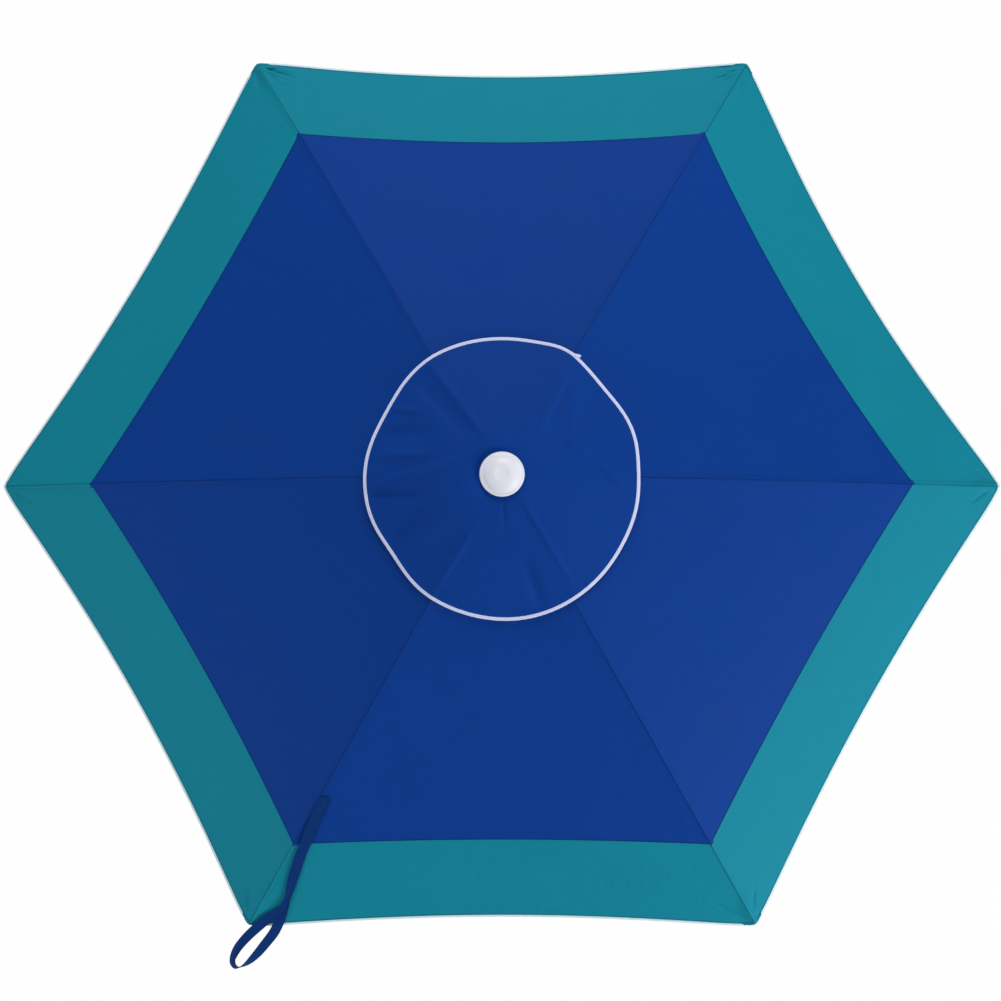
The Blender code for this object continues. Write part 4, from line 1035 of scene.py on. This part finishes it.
middle_profile = [
    (0.0145, 0.0002), (0.0345, 0.0002), (0.0345, 0.0007), (0.0145, 0.0007), (0.0145, 0.0002),
]
middle_bm = turned(middle_profile, 96, Matrix.Translation((0, 0, CROWN + CAP_TOP - 0.0006)))
for name in ("weave", "sewn"):
    layer = middle_bm.loops.layers.uv.new(name)
    for face in middle_bm.faces:
        for loop in face.loops:
            loop[layer].uv = loop.vert.co.xy + Vector((0.0, 0.2))
cap_middle = finish_piece("cap_middle", middle_bm, "upper_pole", blue_cloth, sharp=40)
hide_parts("vent_cap")

# %% Lapped end of the cap's tape
LAP_ANGLE = math.radians(59)
LAP_LENGTH = 0.020
LAP_SWEEP = 0.075  # radians round the pole
LAP_HIGH = 0.0018
LAP_OVER = 1.4  # times as high as the tape that it laps
LAP_SPLAY = 0.0052


def lap_uv(side, step):
    return tape_uv(LAP_LENGTH * side, step)


def lap_point(side, step):
    """The last of the tape, lapped over its start and splayed outwards."""
    inset, above = tape_section(step, CAP_TAPE, LAP_HIGH)
    angle = LAP_ANGLE - LAP_SWEEP * side
    splay = LAP_SPLAY * smooth_step(-0.3, 0.5, side)
    return cap_point(angle, cap_reach(angle) - inset + splay, above * LAP_OVER + 0.0001)


lap_bm = sheet_from_grid(16, 12, lap_uv, lap_uv, lap_point)
lap = finish_piece("cap_tape_end", lap_bm, "rib_2", tape_white)
thicken(gather(lap, 2, -1), CAP_TAPE_THICK, 0.0)
print("tape end at", round(math.degrees(LAP_ANGLE)), "degrees")

# %% [markdown]
# ## The finial
#
# The white button on top is a turned-looking moulding: a low dome with a slightly dished middle, a rim
# that catches the light and a skirt that grips the cap. It could be cut from a sphere, but a profile gives
# the dish and the rim in one go.

# %% Finial
finial_low, finial_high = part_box("finial")
FINIAL_BASE = CROWN + 0.0080
finial_profile = [
    (0.0000, 0.0187), (0.0060, 0.0188), (0.0096, 0.0191), (0.0118, 0.0196), (0.0140, 0.0195),
    (0.0200, 0.0178), (0.0245, 0.0155), (0.0280, 0.0126), (0.0298, 0.0102), (0.0306, 0.0090),
    (0.0318, 0.0085), (0.0334, 0.0084), (0.0349, 0.0078), (0.0358, 0.0064), (0.0360, 0.0044),
    (0.0356, 0.0016), (0.0346, 0.0002), (0.0325, 0.0000), (0.0000, 0.0000),
]
finial_bm = turned(finial_profile, 96, Matrix.Translation((0, 0, FINIAL_BASE)))
finial = finish_piece("finial_button", finial_bm, "upper_pole", white_plastic, sharp=50)
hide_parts("finial")
print("finial", round(1000 * (finial_high.x - finial_low.x), 1), "mm across")

# %% [markdown]
# ## The tie strap
#
# A blue tape is sewn beside the seam of the near left rib, doubled, with a loop that hangs past the
# corner. Webbing is best modelled directly, as a long grid that follows a path: each row of the path says
# how far in from the corner it is, how far beside the rib, how high, and how the tape is turned.

# %% Path of the strap
STRAP_RIB = 5
STRAP_WIDTH = 0.018
STRAP_LIFTS = (0.0021, 0.0036)  # of its lower and its upper layer above the cloth
HEM_DROP = 0.0014  # below the end of the ridge, where the loop's drops start from
ON_CLOTH = [  # inset from the corner, beside the rib
    (0.266, 0.0082), (0.215, 0.0120), (0.180, 0.0165), (0.145, 0.0215), (0.110, 0.0282), (0.080, 0.0350),
    (0.055, 0.0400),
]
LOOP = [  # the same, then a drop below the hem and a turn in degrees
    (0.032, 0.0430, -0.0042, 76), (0.008, 0.0450, 0.0020, 70), (-0.020, 0.0415, 0.0085, 62),
    (-0.046, 0.0370, 0.0140, 48), (-0.069, 0.0298, 0.0180, 22), (-0.081, 0.0190, 0.0195, 0),
    (-0.074, 0.0075, 0.0175, -22), (-0.052, 0.0040, 0.0125, -48), (-0.026, 0.0080, 0.0065, -62),
    (0.000, 0.0155, -0.0022, -68), (0.026, 0.0245, -0.0102, -72), (0.052, 0.0362, -0.0174, -73),
]


def cloth_height(along, beside):
    """Top of the canopy beside the strap's rib, above the crown hinge."""
    part = beside / SIDE
    radius = along + part / 2
    return canopy_point(STRAP_RIB, radius, part / radius).z - CROWN


def sewn_row(inset, beside, lift):
    """A row of the path that lies on the cloth and follows its slope."""
    along = RIB_END - inset
    height = cloth_height(along, beside)
    fall = height - cloth_height(along, beside + STRAP_WIDTH / 2)
    roll = math.degrees(math.atan2(fall, STRAP_WIDTH / 2))
    return Vector((along, beside, height + lift, 90 - roll))


lower = [sewn_row(*row, STRAP_LIFTS[0]) for row in ON_CLOTH]
upper = [sewn_row(*row, STRAP_LIFTS[1]) for row in reversed(ON_CLOTH[:-1])]
for row in upper:
    row[3] = -row[3]
hem_height = ridge(RIB_END) - HEM_DROP
hanging = [Vector((RIB_END - inset, beside, hem_height - drop, turn)) for inset, beside, drop, turn in LOOP]
path = lower + hanging + upper
print(len(path), "rows in the strap's path")


# %% Along the path
def path_row(at):
    """A row of the path, or a smooth value between two rows."""
    index = min(len(path) - 2, max(0, int(at)))
    part = at - index
    a, b = path[max(0, index - 1)], path[index]
    c, d = path[index + 1], path[min(len(path) - 1, index + 2)]
    return b + 0.5 * part * ((c - a) + part * ((2 * a - 5 * b + 4 * c - d) + part * (3 * (b - c) + d - a)))


stations = [path_row(0.05 * at).to_3d() for at in range(20 * (len(path) - 1) + 1)]
strap_length = sum((b - a).length for a, b in zip(stations, stations[1:]))
print("strap", round(strap_length, 3), "m of tape")

# %% Strap
STRAP_THICK = 0.0010
STRAP_END = 0.009  # the radius of its rounded ends
PINCH_INSET = 0.072  # where the tape is drawn together, in from the corner
PINCH_LENGTH = 0.024
PINCH_SHARE = 0.42  # of the width that is drawn in there
PINCH_CURL = 0.0016


def strap_uv(side, step):
    return (STRAP_WIDTH * side, strap_length * step)


def strap_sewn(side, step):
    return (STRAP_WIDTH * side, min(step, 1 - step) * strap_length)


def strap_point(side, step):
    """A point of the tape, on the line across it that its row turns to."""
    at = step * (len(path) - 1)
    centre = path_row(at)
    ahead = (path_row(at + 0.01) - path_row(at - 0.01)).to_3d().normalized()
    level = ahead.cross((0, 0, 1)).normalized()
    turn = math.radians(centre[3])
    across = level * math.sin(turn) + level.cross(ahead) * math.cos(turn)
    face = across.cross(ahead)
    inset = RIB_END - centre.x
    pinch = math.exp(-(((inset - PINCH_INSET) / PINCH_LENGTH) ** 2))
    end = min(step, 1 - step) * strap_length
    round_end = math.sqrt(1 - (1 - min(1.0, (end + 0.0005) / STRAP_END)) ** 2)
    aside = STRAP_WIDTH * side * (1 - PINCH_SHARE * pinch) * max(0.25, round_end)
    over = math.copysign(1, centre[3]) * (PINCH_CURL * pinch * (abs(side) * 2) ** 2)
    spot = centre.to_3d() + across * aside + face * over
    spot.z += CROWN
    return Matrix.Rotation(rib_turn(STRAP_RIB), 3, "Z") @ spot


strap_bm = sheet_from_grid(8, 240, strap_uv, strap_sewn, strap_point)
strap = finish_piece("strap", strap_bm, f"rib_{STRAP_RIB}", tape_blue)
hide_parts("tie_strap")
thicken(gather(strap, STRAP_RIB), STRAP_THICK, 0.0)

# %% [markdown]
# ## Ribs and stretchers
#
# The ribs are steel rods with an eye at the crown, bowed by the tension of the cloth. A straight rod is
# made, cut across many times and bent by moving each vertex on to the bow. The stretchers stay straight
# and have an eye at both ends.

# %% Rods and eyes
ROD_RADIUS = 0.0025


def straight_rod(length, cuts):
    """A round rod along +X from the origin, cut across so that it can be bent."""
    bm = bmesh.new()
    lay = Matrix.Translation((length / 2, 0, 0)) @ Matrix.Rotation(math.pi / 2, 4, "Y")
    bmesh.ops.create_cone(
        bm, cap_ends=True, segments=16, radius1=ROD_RADIUS, radius2=ROD_RADIUS, depth=length, matrix=lay
    )
    long_edges = [edge for edge in bm.edges if abs(edge.verts[0].co.x - edge.verts[1].co.x) > length / 2]
    bmesh.ops.subdivide_edges(bm, edges=long_edges, cuts=cuts)
    return bm


EYE_REACH = 0.0045  # from an eye's middle to where its rod starts
eye_profile = [
    (0.0016, -0.0018), (0.0020, -0.0022), (0.0045, -0.0022), (0.0050, -0.0017), (0.0050, 0.0017),
    (0.0045, 0.0022), (0.0020, 0.0022), (0.0016, 0.0018), (0.0016, -0.0018),
]


def add_eye(bm, x, z):
    """Adds a drilled eye whose hole runs across the rod, at a place on the rod's plane."""
    place = Matrix.Translation((x, 0, z)) @ Matrix.Rotation(math.pi / 2, 4, "X")
    ring = turned(eye_profile, 24, place)
    mesh = bpy.data.meshes.new("eye")
    ring.to_mesh(mesh)
    ring.free()
    bm.from_mesh(mesh)
    bpy.data.meshes.remove(mesh)


def turn_to(bm, rib):
    """Turns a shape made along +X to the direction of its rib."""
    bmesh.ops.rotate(bm, verts=bm.verts, cent=(0, 0, 0), matrix=Matrix.Rotation(rib_turn(rib), 3, "Z"))


print("rods are", 2 * ROD_RADIUS, "m thick")

# %% Ribs
ROD_END = 0.860  # inside the white cap on a rib's end
rod_start = HINGE_RADIUS + EYE_REACH
for rib in RIBS:
    rod_bm = straight_rod(ROD_END - rod_start, 60)
    for vert in rod_bm.verts:
        radius = rod_start + vert.co.x
        slope = rib_slope(radius)
        flat = smooth_step(0.040, 0.034, radius)
        vert.co = Vector((
            radius - vert.co.z * math.sin(slope),
            vert.co.y * (1 - 0.12 * flat),
            CROWN + rib_height(radius) + vert.co.z * math.cos(slope) * (1 + 0.5 * flat),
        ))
    add_eye(rod_bm, HINGE_RADIUS, CROWN)
    turn_to(rod_bm, rib)
    rod = finish_piece(f"rib_rod_{rib}", rod_bm, f"rib_{rib}", white_steel, sharp=40)
    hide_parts(f"rib_{rib}")
print("ribs", round(ROD_END - rod_start, 3), "m long")

# %% Stretchers
joint_x, _, joint_z = joints["stretcher_1_fold"]["pos_m"]
foot_x, _, foot_z = joints["runner_fold"]["pos_m"]
arm_reach = Vector((joint_x - foot_x, 0, joint_z - foot_z))
lean = Matrix.Rotation(-math.atan2(arm_reach.z, arm_reach.x), 4, "Y")
foot = Matrix.Translation((foot_x, 0, foot_z))
arm_place = foot @ lean @ Matrix.Translation((EYE_REACH, 0, 0))
for rib in RIBS:
    arm_bm = straight_rod(arm_reach.length - 2 * EYE_REACH, 1)
    bmesh.ops.transform(arm_bm, matrix=arm_place, verts=arm_bm.verts)
    add_eye(arm_bm, foot_x, foot_z)
    add_eye(arm_bm, joint_x, joint_z)
    turn_to(arm_bm, rib)
    arm = finish_piece(f"stretcher_rod_{rib}", arm_bm, f"stretcher_{rib}", white_steel, sharp=40)
    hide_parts(f"stretcher_{rib}")
print("stretchers", round(arm_reach.length, 3), "m between eyes")

# %% [markdown]
# ## Fittings and tubes
#
# The other solids have their right shapes already. A copy of each is merged, because the imported triangles
# are loose, and its sharp edges are rounded, as on a moulding or a deburred tube. Then it is shaded smooth
# and takes the finish of its material. The coil behind the tilt button gets a mesh of its own.

# %% How a solid is copied
def round_edges(bm, width):
    """Bevels every sharp edge by a width."""
    limit = math.radians(35)
    sharp = [edge for edge in bm.edges if edge.is_manifold and edge.calc_face_angle() > limit]
    bmesh.ops.bevel(
        bm, geom=sharp, offset=width, affect="EDGES", segments=2, profile=0.5, material=-1,
        clamp_overlap=False,
    )


def rounded_copy(node, width, material):
    """A copy of one solid of the frame that stands for it, with rounded edges and a finish."""
    source = frame["nodes"][node]
    bm = bmesh.new()
    bm.from_mesh(source.data)
    bmesh.ops.remove_doubles(bm, verts=bm.verts, dist=1e-5)
    bmesh.ops.dissolve_limit(bm, angle_limit=0.01, verts=bm.verts, edges=bm.edges)
    if width:
        round_edges(bm, width)
    made = finish_piece(node + "_piece", bm, source["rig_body"], material, sharp=32)
    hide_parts(node)


print("solids to choose from:", len(frame["nodes"]))

# %% Rounded copies of the solids
MOULDINGS = {
    "ground_spike": 0.0008, "clamp_collar": 0.0006, "clamp_knob": 0.0006, "middle_pole_guide": 0.0003,
    "tilt_fork": 0.0006, "tilt_tongue": 0.0005, "tilt_button": 0.0004, "crown_hub": 0.0003,
    "pole_top_plug": 0.0003, "runner": 0.0003, "runner_catch": 0.0003,
}
TUBES = {"lower_pole_tube": 0.0003, "middle_pole_tube": 0.0003, "upper_pole_tube": 0.0003}
ZINC = ["crown_pin", "catch_pin", "tilt_pin", "crown_wire", "runner_wire", "tilt_button_spring"]
for node, width in MOULDINGS.items():
    rounded_copy(node, width, white_plastic)
for node, width in TUBES.items():
    rounded_copy(node, width, white_steel)
for node in ZINC + [f"stretcher_rivet_{rib}" for rib in RIBS]:
    rounded_copy(node, 0.0, zinc_steel)
SMALL_EDGE = 0.0003
for rib in RIBS:
    rounded_copy(f"rib_tip_{rib}", SMALL_EDGE, white_plastic)
    rounded_copy(f"rib_bracket_{rib}", SMALL_EDGE, white_plastic)
print(len(MOULDINGS) + len(TUBES) + len(ZINC) + 3 * len(RIBS), "rounded copies")

# %% The coil behind the tilt button
coil = bpy.data.objects["tilt_button_spring_piece"]
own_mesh(coil)

# %% [markdown]
# ## The pieces of each half
#
# For each half panel, the names of its rib's rod, vent hem and hem tape, and on a left half of its rib's
# seam and corner pocket, are put together and not used. The pieces here were modelled on the stretched
# canopy, and polyester hardly stretches, so the measured area is the cut area.


for rib, hand in ALL_HALVES:
    tag = f"{rib}_{HALVES[hand]}"
    seam, pocket = ([f"rib_seam_{rib}"], [f"corner_pocket_{rib}"]) if hand == 1 else ([], [])
    rod = f"rib_rod_{rib}"
    [f"vent_hem_{tag}"] + seam
    [f"hem_tape_{tag}"] + pocket
print(3 * len(ALL_HALVES) + 1, "sheets declared")
